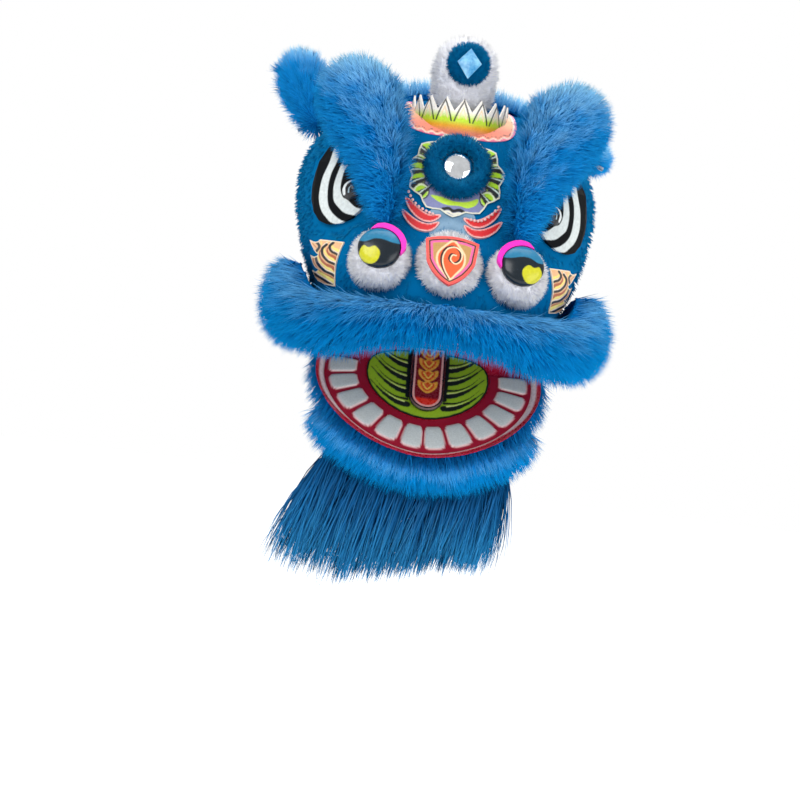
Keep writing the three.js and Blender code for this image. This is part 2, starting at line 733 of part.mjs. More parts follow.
function lowerJaw() {
  const { x, width, length, height, eye } = JAW_ARM;
  let jaw = dishBody(-JAW_WALL, 0);
  const across = new THREE.Matrix4().makeRotationZ(radians(90));
  for (const { sign } of SIDES) {
    const bar = new THREE.BoxGeometry(width, length, height).translate(sign * x, -length / 2, 0);
    const knuckle = new THREE.CylinderGeometry(eye, eye, width, 14);
    const at = new THREE.Matrix4().makeTranslation(sign * x, 0, 0).multiply(across);
    jaw = jaw.add(solidOf(bar)).add(solidOf(knuckle, at));
  }
  const clear = JAW_ROD.radius + GAP;
  const bore = new THREE.CylinderGeometry(clear, clear, 2 * JAW.halfWidth, 16);
  return jaw.subtract(solidOf(bore, across));
}

// A strip on the dish between two shares of the outline and two turns.
function dishStrip(inner, outer, from, to, low, high, steps) {
  const rings = Array.from({ length: steps + 1 }, (none, k) => {
    const turn = from + ((to - from) * k) / steps;
    const spot = (share, lift) => jawEdge(share, turn).setZ(dishHeight(share) + lift);
    return [spot(inner, low), spot(outer, low), spot(outer, high), spot(inner, high)];
  });
  return loft(rings);
}

function gumTeeth() {
  const { count, inner, outer, gap, lift } = TEETH;
  const reach = (2 * Math.PI * GUM.steps) / JAW_AROUND;
  const [low, top] = [2 * GAP, GAP + GUM.lift];
  let gum = dishStrip(GUM.inner, GUM.outer, -reach, reach, low, top, 2 * GUM.steps);
  const pitch = (2 * reach) / count;
  for (let index = 0; index < count; index++) {
    const from = -reach + pitch * (index + gap);
    const to = -reach + pitch * (index + 1 - gap);
    gum = gum.add(dishStrip(inner, outer, from, to, 3 * GAP, GAP + lift, 2));
  }
  return gum;
}

const mouthFloor = () =>
  loft([dishRing(FLOOR.outer, 2 * GAP), dishRing(FLOOR.outer, GAP + FLOOR.lift)]);

function tongueBody() {
  const { halfWidth, from, to, thick, bevel } = TONGUE;
  const round = halfWidth - bevel;
  const shape = new THREE.Shape();
  shape.moveTo(-round, -from);
  shape.lineTo(-round, -(to - halfWidth));
  shape.absarc(0, -(to - halfWidth), round, Math.PI, 2 * Math.PI);
  shape.lineTo(round, -from);
  const body = new THREE.ExtrudeGeometry(shape, {
    depth: thick - bevel,
    bevelSize: bevel,
    bevelThickness: bevel,
    bevelSegments: 1,
    curveSegments: 8,
  });
  const rest = dishHeight(FLOOR.outer) + GAP + FLOOR.lift + GAP + bevel;
  return solidOf(body.translate(0, 0, rest)).subtract(dishBody(-10 * JAW_WALL, GAP));
}

const chinTable = bothHalves(CHIN_SECTIONS, "turn");

function chinRow({ turn, wide, deep }) {
  const { x, y } = jawEdge(1, radians(turn));
  return { x, y: y - wide * 0.2, z: -CHIN_DROP, wide, deep };
}

function chinFur(grow = 0) {
  const rows = chinTable.map(chinRow);
  const up = vector(0, 0, 1);
  const fur = sweep(rows, { steps: 16, around: 8, facing: up, tufts: TUFTS.chin, grow });
  return fur.subtract(dishBody(-JAW_WALL - GAP, 10 * JAW_WALL));
}

// Beard in the jaw's frame as it hangs at rest: a bowed backing with tapered locks fused to it.
function beardBody() {
  const { reach, below, locks, radius, length, vary, drift } = BEARD;
  const down = vector(0, 0, -1).applyAxisAngle(vector(1, 0, 0), -radians(JAW.open));
  const place = smoothTable(chinTable.map(chinRow));
  const spot = (share) => {
    const { x, y, z, deep } = place(((chinTable.length - 1) / 2) * (1 + share * reach));
    return vector(x, y, z).addScaledVector(down, deep + below);
  };
  const row = (point, size) => ({ x: point.x, y: point.y, z: point.z, wide: size, deep: size });
  const backing = [-1, -0.5, 0, 0.5, 1].map((share) => row(spot(share), radius));
  let beard = sweep(backing, { steps: 8, around: 6, facing: down });
  for (let index = 0; index < locks; index++) {
    const share = (2 * index) / (locks - 1) - 1;
    const root = spot(share);
    const fall = length + vary * Math.sin(5 * index) - vary * share * share;
    const aside = vector(share * radius + drift, 0, 0);
    const half = root.clone().addScaledVector(down, fall * 0.4).addScaledVector(aside, 0.4);
    const tip = root.clone().addScaledVector(down, fall).add(aside);
    const rows = [row(root, radius * 0.7), row(half, radius), row(tip, radius * 0.14)];
    beard = beard.add(sweep(rows, { steps: 2, around: 5, facing: vector(0, 1, 0) }));
  }
  return beard.subtract(chinFur(GAP));
}

const finish = (color, roughness, metalness = 0) =>
  new THREE.MeshStandardMaterial({ color, roughness, metalness });
const FINISHES = {
  blueFur: finish(0x1878c4, 0.95),
  bluePlush: finish(0x1f7fb4, 0.9),
  whiteFur: finish(0xe4e4f0, 0.95),
  paint: finish(0xb7cf3a, 0.5),
  orange: finish(0xf26a3d, 0.5),
  pink: finish(0xf01fa0, 0.5),
  red: finish(0xc0142c, 0.4),
  teeth: finish(0xd9dcdc, 0.4),
  black: finish(0x0d0f12, 0.15),
  nostril: finish(0x1b5f86, 0.35),
  mirror: finish(0xdfe3e6, 0.05, 1),
  gem: finish(0x2f9bd6, 0.1),
  wood: finish(0xc8a468, 0.6),
  steel: finish(0xa9adb0, 0.35, 1),
};

const head = new THREE.Group();

function add(parent, name, solid, material) {
  const mesh = new THREE.Mesh(geometryOf(solid), material);
  mesh.name = name;
  parent.add(mesh);
  return mesh;
}

add(head, "head_shell", headShell(), FINISHES.bluePlush);
add(head, "hand_bar", crossBar(HAND_BAR), FINISHES.wood);
add(head, "jaw_rod", crossBar(JAW_ROD), FINISHES.steel);
add(head, "lip_roll", lipRoll(), FINISHES.blueFur);
add(head, "crown_trim", crownTrim(), FINISHES.blueFur);
add(head, "horn", seated(hornBody()), FINISHES.whiteFur);
add(head, "horn_disc", hornDisc(), FINISHES.bluePlush);
add(head, "horn_gem", hornGem(), FINISHES.gem);
add(head, "horn_collar", hornCollar(), FINISHES.paint);
add(head, "forehead_plate", panelOnDome(plaquePanel()), FINISHES.paint);
add(head, "mirror_ring", mirrorRing(), FINISHES.bluePlush);
add(head, "mirror", mirror(), FINISHES.mirror);
add(head, "nose_pad", nosePad(), FINISHES.whiteFur);
add(head, "nose_crest", crestPlate(), FINISHES.orange);

for (const { name, sign, flap } of SIDES) {
  add(head, `brow_${name}`, brow(sign), FINISHES.blueFur);
  add(head, `eye_${name}`, panelOnDome(eyePanel(sign)), FINISHES.black);
  add(head, `pupil_${name}`, pupil(sign), FINISHES.black);
  add(head, `nostril_${name}`, nostril(sign), FINISHES.whiteFur);
  add(head, `nostril_dome_${name}`, nostrilDome(sign), FINISHES.nostril);
  add(head, `nostril_rim_${name}`, rimBody(sign), FINISHES.pink);
  add(head, `snout_stripe_${name}`, panelOnDome(stripePanel(sign)), FINISHES.red);
  add(head, `cheek_flame_${name}`, panelOnDome(cheekPanel(sign)), FINISHES.orange);
  add(head, `ear_pin_${name}`, earPin(sign), FINISHES.steel);
  const ear = new THREE.Group();
  ear.position.set(sign * EAR.x, EAR.y, EAR.z);
  ear.rotation.set(-radians(flap), sign * radians(EAR.lean), 0, "YXZ");
  head.add(ear);
  add(ear, `ear_${name}`, earBody(), FINISHES.blueFur);
}

const jaw = new THREE.Group();
jaw.position.set(0, JAW_ROD.y, JAW_ROD.z);
jaw.rotation.x = radians(JAW.open);
head.add(jaw);
add(jaw, "lower_jaw", lowerJaw(), FINISHES.red);
add(jaw, "gum_teeth", gumTeeth(), FINISHES.teeth);
add(jaw, "mouth_floor", mouthFloor(), FINISHES.paint);
add(jaw, "tongue", tongueBody(), FINISHES.red);
add(jaw, "chin_fur", chinFur(), FINISHES.blueFur);
add(jaw, "beard", beardBody(), FINISHES.blueFur);

export default head;
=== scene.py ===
"""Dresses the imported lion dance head: fleece, plush, painted panels, lacquered jaw, mirror and studio."""
from __future__ import annotations

import logging
import math
from dataclasses import dataclass, field
from enum import Enum
from typing import Callable, Sequence

import bpy
import numpy as np
from mathutils import Matrix, Vector
from mathutils.bvhtree import BVHTree
from mathutils.geometry import delaunay_2d_cdt
from mathutils.kdtree import KDTree


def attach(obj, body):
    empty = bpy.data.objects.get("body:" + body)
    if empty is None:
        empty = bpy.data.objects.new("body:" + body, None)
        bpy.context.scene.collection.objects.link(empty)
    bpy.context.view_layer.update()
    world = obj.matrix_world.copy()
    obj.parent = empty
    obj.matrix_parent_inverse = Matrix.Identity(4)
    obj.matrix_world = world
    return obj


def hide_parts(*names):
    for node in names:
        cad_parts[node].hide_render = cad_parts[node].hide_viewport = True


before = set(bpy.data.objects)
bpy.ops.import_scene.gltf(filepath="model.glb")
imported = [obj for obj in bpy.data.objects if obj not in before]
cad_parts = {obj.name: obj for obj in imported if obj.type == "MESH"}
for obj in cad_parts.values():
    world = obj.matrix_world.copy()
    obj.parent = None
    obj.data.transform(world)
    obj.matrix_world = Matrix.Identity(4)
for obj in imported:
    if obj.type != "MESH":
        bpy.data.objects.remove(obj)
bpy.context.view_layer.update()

log = logging.getLogger("lion_head")

Array = np.ndarray
Comb = Callable[[Array, Array], Array]
Rows = Sequence[Sequence[float]]
MM = 0.001


class Body(str, Enum):
    """The rigid bodies of the frame that pieces ride on."""

    HEAD = "head"
    JAW = "jaw"
    EAR_LEFT = "ear_left"
    EAR_RIGHT = "ear_right"


class Slot(str, Enum):
    """The record's material slots."""

    BLUE_FUR = "blue_fur"
    BLUE_PLUSH = "blue_plush"
    WHITE_PLUSH = "white_plush"
    PLAQUE = "painted_plaque"
    FLAME = "painted_flame"
    PINK = "pink_paint"
    RED = "red_lacquer"
    TOOTH = "tooth_enamel"
    BLACK = "gloss_black"
    NOSTRIL = "nostril_paint"
    MIRROR = "mirror_glass"


def linear(code: str) -> Array:
    """Turns an sRGB hex value into linear light.

    Args:
        code: Six hex digits, with or without a leading hash.

    Returns:
        Three linear channels.
    """
    digits = code.lstrip("#")
    raw = np.array([int(digits[at:at + 2], 16) / 255 for at in (0, 2, 4)])
    return np.where(raw <= 0.04045, raw / 12.92, ((raw + 0.055) / 1.055) ** 2.4)


def rgba(code: str) -> tuple[float, float, float, float]:
    """Gives a hex value as a linear colour for a shader socket."""
    return (*(float(c) for c in linear(code)), 1.0)


def unit(rows: Array) -> Array:
    """Scales each row to length one."""
    return rows / np.maximum(np.linalg.norm(rows, axis=-1, keepdims=True), 1e-12)


def spline(rows: Rows, closed: bool = False, steps: int = 8) -> Array:
    """Runs a smooth Catmull-Rom curve through points.

    Args:
        rows: The points, in any number of columns.
        closed: Whether the curve returns to its start.
        steps: Points for each span.

    Returns:
        The points along the curve.
    """
    knots = np.asarray(rows, float)
    if closed:
        padded = np.vstack([knots[-1:], knots, knots[:2]])
    else:
        padded = np.vstack([2 * knots[:1] - knots[1:2], knots, 2 * knots[-1:] - knots[-2:-1]])
    share = (np.arange(steps) / steps)[:, None]
    spans = []
    for a, b, c, d in zip(padded, padded[1:], padded[2:], padded[3:]):
        curve = 2 * b + (c - a) * share + (2 * a - 5 * b + 4 * c - d) * share ** 2
        spans.append((curve + (3 * b - a - 3 * c + d) * share ** 3) / 2)
    if not closed:
        spans.append(knots[-1:])
    return np.vstack(spans)


def split_faces(faces: Array, middles: Array, cut: Array) -> Array:
    """Splits triangles at the middles of their cut edges.

    Args:
        faces: The triangles' corners.
        middles: The new point on each edge, after the corner it starts from.
        cut: Which edges are cut.

    Returns:
        The new triangles.
    """
    total = cut.sum(axis=1)
    parts = [faces[total == 0]]
    for turn in range(3):
        v, m, c = (np.roll(rows, -turn, axis=1) for rows in (faces, middles, cut))
        one = (total == 1) & c[:, 0]
        two = (total == 2) & c[:, 0] & c[:, 1]
        parts.append(np.c_[v[one, 0], m[one, 0], v[one, 2]])
        parts.append(np.c_[m[one, 0], v[one, 1], v[one, 2]])
        parts.append(np.c_[m[two, 0], v[two, 1], m[two, 1]])
        parts.append(np.c_[v[two, 0], m[two, 0], m[two, 1]])
        parts.append(np.c_[v[two, 0], m[two, 1], v[two, 2]])
    full = total == 3
    v, m = faces[full], middles[full]
    parts.append(np.c_[v[:, 0], m[:, 0], m[:, 2]])
    parts.append(np.c_[m[:, 0], v[:, 1], m[:, 1]])
    parts.append(np.c_[m[:, 2], m[:, 1], v[:, 2]])
    parts.append(m)
    return np.vstack(parts)


@dataclass
class Skin:
    """A triangle surface in metres, in the frame of the CAD model."""

    points: Array
    faces: Array

    @classmethod
    def of_node(cls, name: str) -> Skin:
        """Reads a CAD node's triangles and welds their corners."""
        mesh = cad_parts[name].data
        return cls.of_mesh(mesh).welded()

    @classmethod
    def of_mesh(cls, mesh: bpy.types.Mesh) -> Skin:
        """Reads the triangles of a Blender mesh.

        Args:
            mesh: The mesh to read.

        Returns:
            The surface.
        """
        mesh.calc_loop_triangles()
        places = np.empty(len(mesh.vertices) * 3)
        mesh.vertices.foreach_get("co", places)
        corners = np.empty(len(mesh.loop_triangles) * 3, dtype=np.int32)
        mesh.loop_triangles.foreach_get("vertices", corners)
        return cls(places.reshape(-1, 3), corners.reshape(-1, 3))

    def welded(self, grid: float = 2e-5) -> Skin:
        """Joins points that share a place, and drops triangles that vanish.

        Args:
            grid: How near two points count as one place, in metres.

        Returns:
            The joined surface.
        """
        _, first, back = np.unique(
            np.round(self.points / grid).astype(np.int64), axis=0, return_index=True, return_inverse=True
        )
        faces = back.reshape(-1)[self.faces]
        a, b, c = faces.T
        return Skin(self.points[first], faces[(a != b) & (b != c) & (c != a)])

    def face_normals(self) -> tuple[Array, Array]:
        """Gives each triangle's outward direction and its area.

        Returns:
            The directions, and the areas in square metres.
        """
        a, b, c = (self.points[self.faces[:, at]] for at in range(3))
        cross = np.cross(b - a, c - a)
        size = np.linalg.norm(cross, axis=1)
        return cross / np.maximum(size, 1e-15)[:, None], size / 2

    def normals(self) -> Array:
        """Gives each point's outward direction.

        Returns:
            One unit direction for each point.
        """
        facing, area = self.face_normals()
        total = np.zeros_like(self.points)
        for at in range(3):
            np.add.at(total, self.faces[:, at], facing * area[:, None])
        return unit(total)

    def edges(self) -> tuple[Array, Array, Array]:
        """Lists every face's edges.

        Returns:
            Each edge's first point, its last point, and a number that the faces on both its sides share.
        """
        head, tail = self.faces.reshape(-1), np.roll(self.faces, -1, axis=1).reshape(-1)
        key = np.minimum(head, tail).astype(np.int64) * len(self.points) + np.maximum(head, tail)
        return head, tail, key

    def corner_normals(self, crease: float) -> Array:
        """Gives each corner's direction, over the faces around it that bend less than the crease.

        Args:
            crease: Angle in degrees above which an edge stays sharp.

        Returns:
            Directions by face, corner and axis.
        """
        facing, area = self.face_normals()
        owner = self.faces.reshape(-1)
        order = np.argsort(owner, kind="stable")
        count = np.bincount(owner, minlength=len(self.points))
        start = np.cumsum(count) - count
        mine = np.repeat(np.arange(len(owner)), count[owner])
        lead = np.cumsum(count[owner]) - count[owner]
        other = order[start[owner[mine]] + np.arange(len(mine)) - lead[mine]]
        near = np.einsum("ij,ij->i", facing[mine // 3], facing[other // 3]) > math.cos(math.radians(crease))
        mine, other = mine[near], other[near]
        weight = facing[other // 3] * area[other // 3][:, None]
        total = np.stack([np.bincount(mine, weight[:, at], len(owner)) for at in range(3)], axis=1)
        return unit(total).reshape(-1, 3, 3)

    def fine(self, pitch: float, aim: Sequence[float] | None = None, crease: float = 42) -> Skin:
        """Splits every edge longer than a pitch and rounds the new points to the surface's bend.

        Args:
            pitch: Longest edge that stays, in millimetres.
            aim: The way that the faces to split look, or none for all of them.
            crease: Angle in degrees above which an edge stays sharp.

        Returns:
            The finer surface.
        """
        skin = self
        for _ in range(9):
            head, tail = skin.faces, np.roll(skin.faces, -1, axis=1)
            a, b = skin.points[head], skin.points[tail]
            step = b - a
            wide = np.linalg.norm(step, axis=-1) > pitch * MM
            if aim is not None:
                wide &= (skin.face_normals()[0] @ np.asarray(aim) > 0.05)[:, None]
            if not wide.any():
                break
            near = skin.corner_normals(crease)
            far = np.roll(near, -1, axis=1)
            lift = (step * near).sum(-1, keepdims=True) * near - (step * far).sum(-1, keepdims=True) * far
            middle = ((a + b) / 2 - lift / 8).reshape(-1, 3)
            edges, back = np.unique(skin.edges()[2], return_inverse=True)
            back = back.reshape(-1)
            share = np.bincount(back)
            added = np.stack([np.bincount(back, middle[:, at]) / share for at in range(3)], axis=1)
            used = np.zeros(len(edges), bool)
            used[back[wide.reshape(-1)]] = True
            number = np.cumsum(used) - 1 + len(skin.points)
            faces = split_faces(skin.faces, number[back].reshape(-1, 3), used[back].reshape(-1, 3))
            skin = Skin(np.vstack([skin.points, added[used]]), faces)
        return skin

    def remeshed(self, voxel: float, rounds: int) -> Skin:
        """Rebuilds the surface on an even grid and smooths it.

        Args:
            voxel: Grid size in millimetres.
            rounds: Rounds of smoothing.

        Returns:
            The even, rounded surface.
        """
        holder = bpy.data.objects.new("grid", self.mesh("grid"))
        bpy.context.scene.collection.objects.link(holder)
        grid = holder.modifiers.new("grid", "REMESH")
        grid.mode = "VOXEL"
        grid.voxel_size = voxel * MM
        soft = holder.modifiers.new("soft", "SMOOTH")
        soft.factor = 0.5
        soft.iterations = rounds
        result = holder.evaluated_get(bpy.context.evaluated_depsgraph_get())
        skin = Skin.of_mesh(result.to_mesh())
        result.to_mesh_clear()
        mesh = holder.data
        bpy.data.objects.remove(holder)
        bpy.data.meshes.remove(mesh)
        return skin

    def inset(self, depth: float) -> Skin:
        """Moves every point inward by a depth in millimetres."""
        return Skin(self.points - self.normals() * depth * MM, self.faces)

    def scatter(self, count: int, rng: np.random.Generator) -> tuple[Array, Array]:
        """Spreads places evenly over the surface.

        Args:
            count: How many places.
            rng: The seeded generator.

        Returns:
            The places and the surface directions there.
        """
        _, area = self.face_normals()
        pick = rng.choice(len(self.faces), count, p=area / area.sum())
        u, v = rng.random((2, count))
        turn = u + v > 1
        u, v = np.where(turn, 1 - u, u), np.where(turn, 1 - v, v)
        weight = np.stack([1 - u - v, u, v], axis=1)[:, :, None]
        corners = self.faces[pick]
        return (self.points[corners] * weight).sum(1), unit((self.normals()[corners] * weight).sum(1))

    def edge_gap(self, other: Skin, crease: float = 42) -> Array:
        """Measures how far another surface's points lie from this one's sharp edges, in millimetres.

        Args:
            other: The surface whose points are measured.
            crease: Angle in degrees above which an edge is sharp.

        Returns:
            One distance for each point of the other surface.
        """
        facing, _ = self.face_normals()
        head, tail, key = self.edges()
        order = np.argsort(key, kind="stable")
        first, second = order[::2], order[1::2]
        sharp = (facing[first // 3] * facing[second // 3]).sum(1) < math.cos(math.radians(crease))
        a, b = self.points[head[first[sharp]]], self.points[tail[first[sharp]]]
        share = np.linspace(0, 1, 48)[:, None, None]
        samples = (a * (1 - share) + b * share).reshape(-1, 3)
        tree = KDTree(len(samples))
        for at, place in enumerate(samples):
            tree.insert(place, at)
        tree.balance()
        return np.array([tree.find(place)[2] for place in other.points]) / MM

    def rim_walls(self, shift: int) -> Array:
        """Gives the triangles that join the open rim of this surface to a copy of it.

        Args:
            shift: How many points further on the copy starts.

        Returns:
            The wall's triangles.
        """
        head, tail, key = self.edges()
        _, back, count = np.unique(key, return_inverse=True, return_counts=True)
        rim = count[back.reshape(-1)] == 1
        a, b = head[rim], tail[rim]
        return np.vstack([np.c_[a, a + shift, b], np.c_[b, a + shift, b + shift]])

    def tree(self) -> BVHTree:
        """Gives a search tree over the triangles."""
        return BVHTree.FromPolygons(self.points.tolist(), self.faces.tolist())

    def mesh(self, name: str) -> bpy.types.Mesh:
        """Writes the surface as a Blender mesh.

        Args:
            name: The mesh's name.

        Returns:
            The mesh.
        """
        mesh = bpy.data.meshes.new(name)
        mesh.vertices.add(len(self.points))
        mesh.vertices.foreach_set("co", self.points.reshape(-1).astype(np.float32))
        mesh.loops.add(self.faces.size)
        mesh.loops.foreach_set("vertex_index", self.faces.reshape(-1).astype(np.int32))
        mesh.polygons.add(len(self.faces))
        mesh.polygons.foreach_set("loop_start", np.arange(0, self.faces.size, 3, dtype=np.int32))
        mesh.update(calc_edges=True)
        return mesh


def ball(centre: Sequence[float], radius: float, around: int = 14, rings: int = 8) -> Skin:
    """Makes a closed ball.

    Args:
        centre: Its middle, in metres.
        radius: Its radius, in metres.
        around: Points round each ring.
        rings: Rings between its poles.

    Returns:
        The ball.
    """
    tilt = np.linspace(0, math.pi, rings + 2)[1:-1, None]
    turn = np.linspace(0, 2 * math.pi, around, endpoint=False)[None, :]
    body = np.stack(np.broadcast_arrays(
        np.sin(tilt) * np.cos(turn), np.sin(tilt) * np.sin(turn), np.cos(tilt)
    ), -1)
    points = np.vstack([body.reshape(-1, 3), [[0, 0, 1], [0, 0, -1]]])
    faces = []
    for at in range(around):
        after = (at + 1) % around
        faces.append((rings * around, at, after))
        low = (rings - 1) * around
        faces.append((rings * around + 1, low + after, low + at))
        for ring in range(rings - 1):
            a, b = ring * around + at, ring * around + after
            faces += [(a, a + around, b + around), (a, b + around, b)]
    return Skin(points * radius + np.asarray(centre), np.array(faces))


def joined(skins: Sequence[Skin]) -> Skin:
    """Puts several surfaces into one."""
    starts = np.cumsum([0] + [len(s.points) for s in skins])
    return Skin(np.vstack([s.points for s in skins]), np.vstack([s.faces + n for s, n in zip(skins, starts)]))


@dataclass
class Paint:
    """Colour laid on the points of a surface, layer by layer, in flat millimetre coordinates."""

    flat: Array
    colour: Array
    blur: float = 0.9

    @classmethod
    def ground(cls, flat: Array, code: str) -> Paint:
        """Starts with one ground colour."""
        return cls(flat, np.tile(linear(code), (len(flat), 1)))

    def lay(self, cover: Array, code: str) -> Paint:
        """Mixes a colour in by a cover from 0 to 1.

        Args:
            cover: How much of the colour each point takes.
            code: The colour.

        Returns:
            This paint, with the colour on it.
        """
        cover = np.clip(cover, 0, 1)[:, None]
        self.colour = self.colour * (1 - cover) + linear(code) * cover
        return self

    def reach(self, line: Array) -> Array:
        """Measures each point's distance from a polyline.

        Args:
            line: The points of the polyline.

        Returns:
            The distances in millimetres.
        """
        best = np.full(len(self.flat), 1e9)
        for a, b in zip(line, line[1:]):
            step = b - a
            share = np.clip(((self.flat - a) @ step) / max(float(step @ step), 1e-9), 0, 1)
            best = np.minimum(best, np.linalg.norm(self.flat - a - share[:, None] * step, axis=1))
        return best

    def line(self, rows: Rows, width: float, code: str, taper: bool = False) -> Paint:
        """Draws a smooth brush line.

        Args:
            rows: The points it passes through.
            width: Its width in millimetres.
            code: Its colour.
            taper: Whether it thins to a point at its last point.

        Returns:
            This paint, with the line on it.
        """
        curve = spline(rows)
        if not taper:
            return self.lay((width / 2 - self.reach(curve)) / self.blur + 0.5, code)
        cover = np.zeros(len(self.flat))
        pieces = np.array_split(np.arange(len(curve) - 1), 6)
        for at, spans in enumerate(pieces):
            part = curve[spans[0]:spans[-1] + 2]
            size = width * (1 - 0.85 * at / 5)
            cover = np.maximum(cover, (size / 2 - self.reach(part)) / self.blur + 0.5)
        return self.lay(cover, code)

    def depth(self, outline: Array) -> Array:
        """Measures how deep each point lies inside a closed outline, less than 0 outside it.

        Args:
            outline: The outline's points.

        Returns:
            The depths in millimetres.
        """
        line = np.vstack([outline, outline[:1]])
        inside = np.zeros(len(self.flat), bool)
        x, y = self.flat.T
        for (ax, ay), (bx, by) in zip(line, line[1:]):
            if ay != by:
                inside ^= ((ay > y) != (by > y)) & (x < (bx - ax) * (y - ay) / (by - ay) + ax)
        return self.reach(line) * np.where(inside, 1, -1)

    def fill(self, rows: Rows, code: str, smooth: bool = True) -> Paint:
        """Fills a closed outline with a colour."""
        line = spline(rows, closed=True) if smooth else np.asarray(rows, float)
        return self.lay(self.depth(line) / self.blur + 0.5, code)

    def disc(self, centre: Sequence[float], radius: float, code: str) -> Paint:
        """Fills a round spot."""
        return self.lay((radius - np.linalg.norm(self.flat - centre, axis=1)) / self.blur + 0.5, code)

    def band(self, value: Array, low: float, high: float, code: str) -> Paint:
        """Colours the points whose own value lies between two limits."""
        return self.lay(np.minimum(value - low, high - value) / self.blur + 0.5, code)


def add_node(
    tree: bpy.types.NodeTree, kind: str, inputs: dict | None = None, **settings: object
) -> bpy.types.Node:
    """Adds one shader node.

    Args:
        tree: The material's node tree.
        kind: Blender's name of the node type.
        inputs: Sockets to set, each to a value or to another node's output.
        **settings: The node's own properties.

    Returns:
        The node.
    """
    made = tree.nodes.new(kind)
    for key, value in settings.items():
        setattr(made, key, value)
    for key, value in (inputs or {}).items():
        if isinstance(value, bpy.types.NodeSocket):
            tree.links.new(value, made.inputs[key])
        else:
            made.inputs[key].default_value = value
    return made


def ramp(
    tree: bpy.types.NodeTree, source: bpy.types.NodeSocket, stops: Sequence[tuple[float, str]]
) -> bpy.types.Node:
    """Adds a colour ramp.

    Args:
        tree: The material's node tree.
        source: The value that runs along the ramp.
        stops: Places and hex colours.

    Returns:
        The ramp node.
    """
    made = add_node(tree, "ShaderNodeValToRGB", {"Fac": source})
    bar = made.color_ramp.elements
    while len(bar) < len(stops):
        bar.new(0.5)
    for element, (place, code) in zip(bar, stops):
        element.position = place
        element.color = rgba(code)
    return made


def blank(name: str) -> tuple[bpy.types.Material, bpy.types.NodeTree]:
    """Starts a node material with nothing in it.

    Args:
        name: The material's name.

    Returns:
        The material and its node tree.
    """
    material = bpy.data.materials.new(name)
    material.use_nodes = True
    material.node_tree.nodes.clear()
    return material, material.node_tree


def close(tree: bpy.types.NodeTree, inputs: dict) -> None:
    """Ends a material with a Principled shader and the output."""
    shader = add_node(tree, "ShaderNodeBsdfPrincipled", inputs)
    add_node(tree, "ShaderNodeOutputMaterial", {"Surface": shader.outputs["BSDF"]})


@dataclass(frozen=True)
class Fleece:
    """Dyed acrylic fleece, brushed and matt: painted shade deep at the roots, pale tips, and a painted
    highlight on the tips that face up.
    """

    name: str
    root: str
    middle: str
    tip: str
    pale: str
    sheen: float = 0.04

    def material(self) -> bpy.types.Material:
        """Makes the material from each strand's own attributes.

        Returns:
            The material.
        """
        material, tree = blank(self.name)
        along = add_node(tree, "ShaderNodeAttribute", attribute_name="along")
        tone = add_node(tree, "ShaderNodeAttribute", attribute_name="tone")
        frost = add_node(tree, "ShaderNodeAttribute", attribute_name="frost")
        # The colour runs from painted shade deep at the roots to pale at the tips; the third attribute mixes
        # the tips on towards the pale colour, a painted highlight that is strongest where they face up.
        body = ramp(tree, along.outputs["Fac"], [(0.0, self.root), (0.45, self.middle), (1.0, self.tip)])
        share = add_node(
            tree, "ShaderNodeMath", {0: along.outputs["Fac"], 1: frost.outputs["Fac"]}, operation="MULTIPLY"
        )
        mixed = add_node(tree, "ShaderNodeMixRGB", {
            "Fac": share.outputs[0], "Color1": body.outputs["Color"], "Color2": rgba(self.pale)
        })
        light = add_node(tree, "ShaderNodeMapRange", {
            "Value": tone.outputs["Fac"], "To Min": 0.84, "To Max": 1.14
        })
        hued = add_node(tree, "ShaderNodeHueSaturation", {
            "Color": mixed.outputs["Color"], "Value": light.outputs["Result"]
        })
        close(tree, {
            "Base Color": hued.outputs["Color"], "Roughness": 0.9, "Sheen Weight": self.sheen,
            "Sheen Roughness": 0.5, "Specular IOR Level": 0.02,
        })
        return material


@dataclass(frozen=True)
class Painted:
    """Poster paint and varnish brushed on papier mache: even colour, faint brush streaks, a soft shine."""

    name: str
    roughness: float
    coat: float = 0.0
    grain: float = 3.0
    bump: float = 0.12
    metallic: float = 0.0
    gloss: float = 0.5

    def material(self) -> bpy.types.Material:
        """Makes the material from the colour laid on the points.

        Returns:
            The material.
        """
        material, tree = blank(self.name)
        paint = add_node(tree, "ShaderNodeAttribute", attribute_name="paint")
        place = add_node(tree, "ShaderNodeTexCoord")
        # Brush streaks are finer than a millimetre; they are drawn a few millimetres wide so that they show.
        streak = add_node(tree, "ShaderNodeTexNoise", {
            "Vector": place.outputs["Object"], "Scale": 1 / (self.grain * MM), "Detail": 4.0, "Roughness": 0.6
        })
        value = add_node(tree, "ShaderNodeMapRange", {
            "Value": streak.outputs["Fac"], "From Min": 0.3, "From Max": 0.7, "To Min": 0.86, "To Max": 1.08
        })
        hued = add_node(tree, "ShaderNodeHueSaturation", {
            "Color": paint.outputs["Color"], "Value": value.outputs["Result"]
        })
        rough = add_node(tree, "ShaderNodeMapRange", {
            "Value": streak.outputs["Fac"], "From Min": 0.3, "From Max": 0.7,
            "To Min": self.roughness * 0.8, "To Max": self.roughness * 1.25
        })
        relief = add_node(tree, "ShaderNodeBump", {
            "Height": streak.outputs["Fac"], "Strength": self.bump, "Distance": 0.0006
        })
        close(tree, {
            "Base Color": hued.outputs["Color"], "Roughness": rough.outputs["Result"],
            "Normal": relief.outputs["Normal"], "Coat Weight": self.coat, "Coat Roughness": 0.12,
            "Metallic": self.metallic, "Specular IOR Level": self.gloss,
        })
        return material


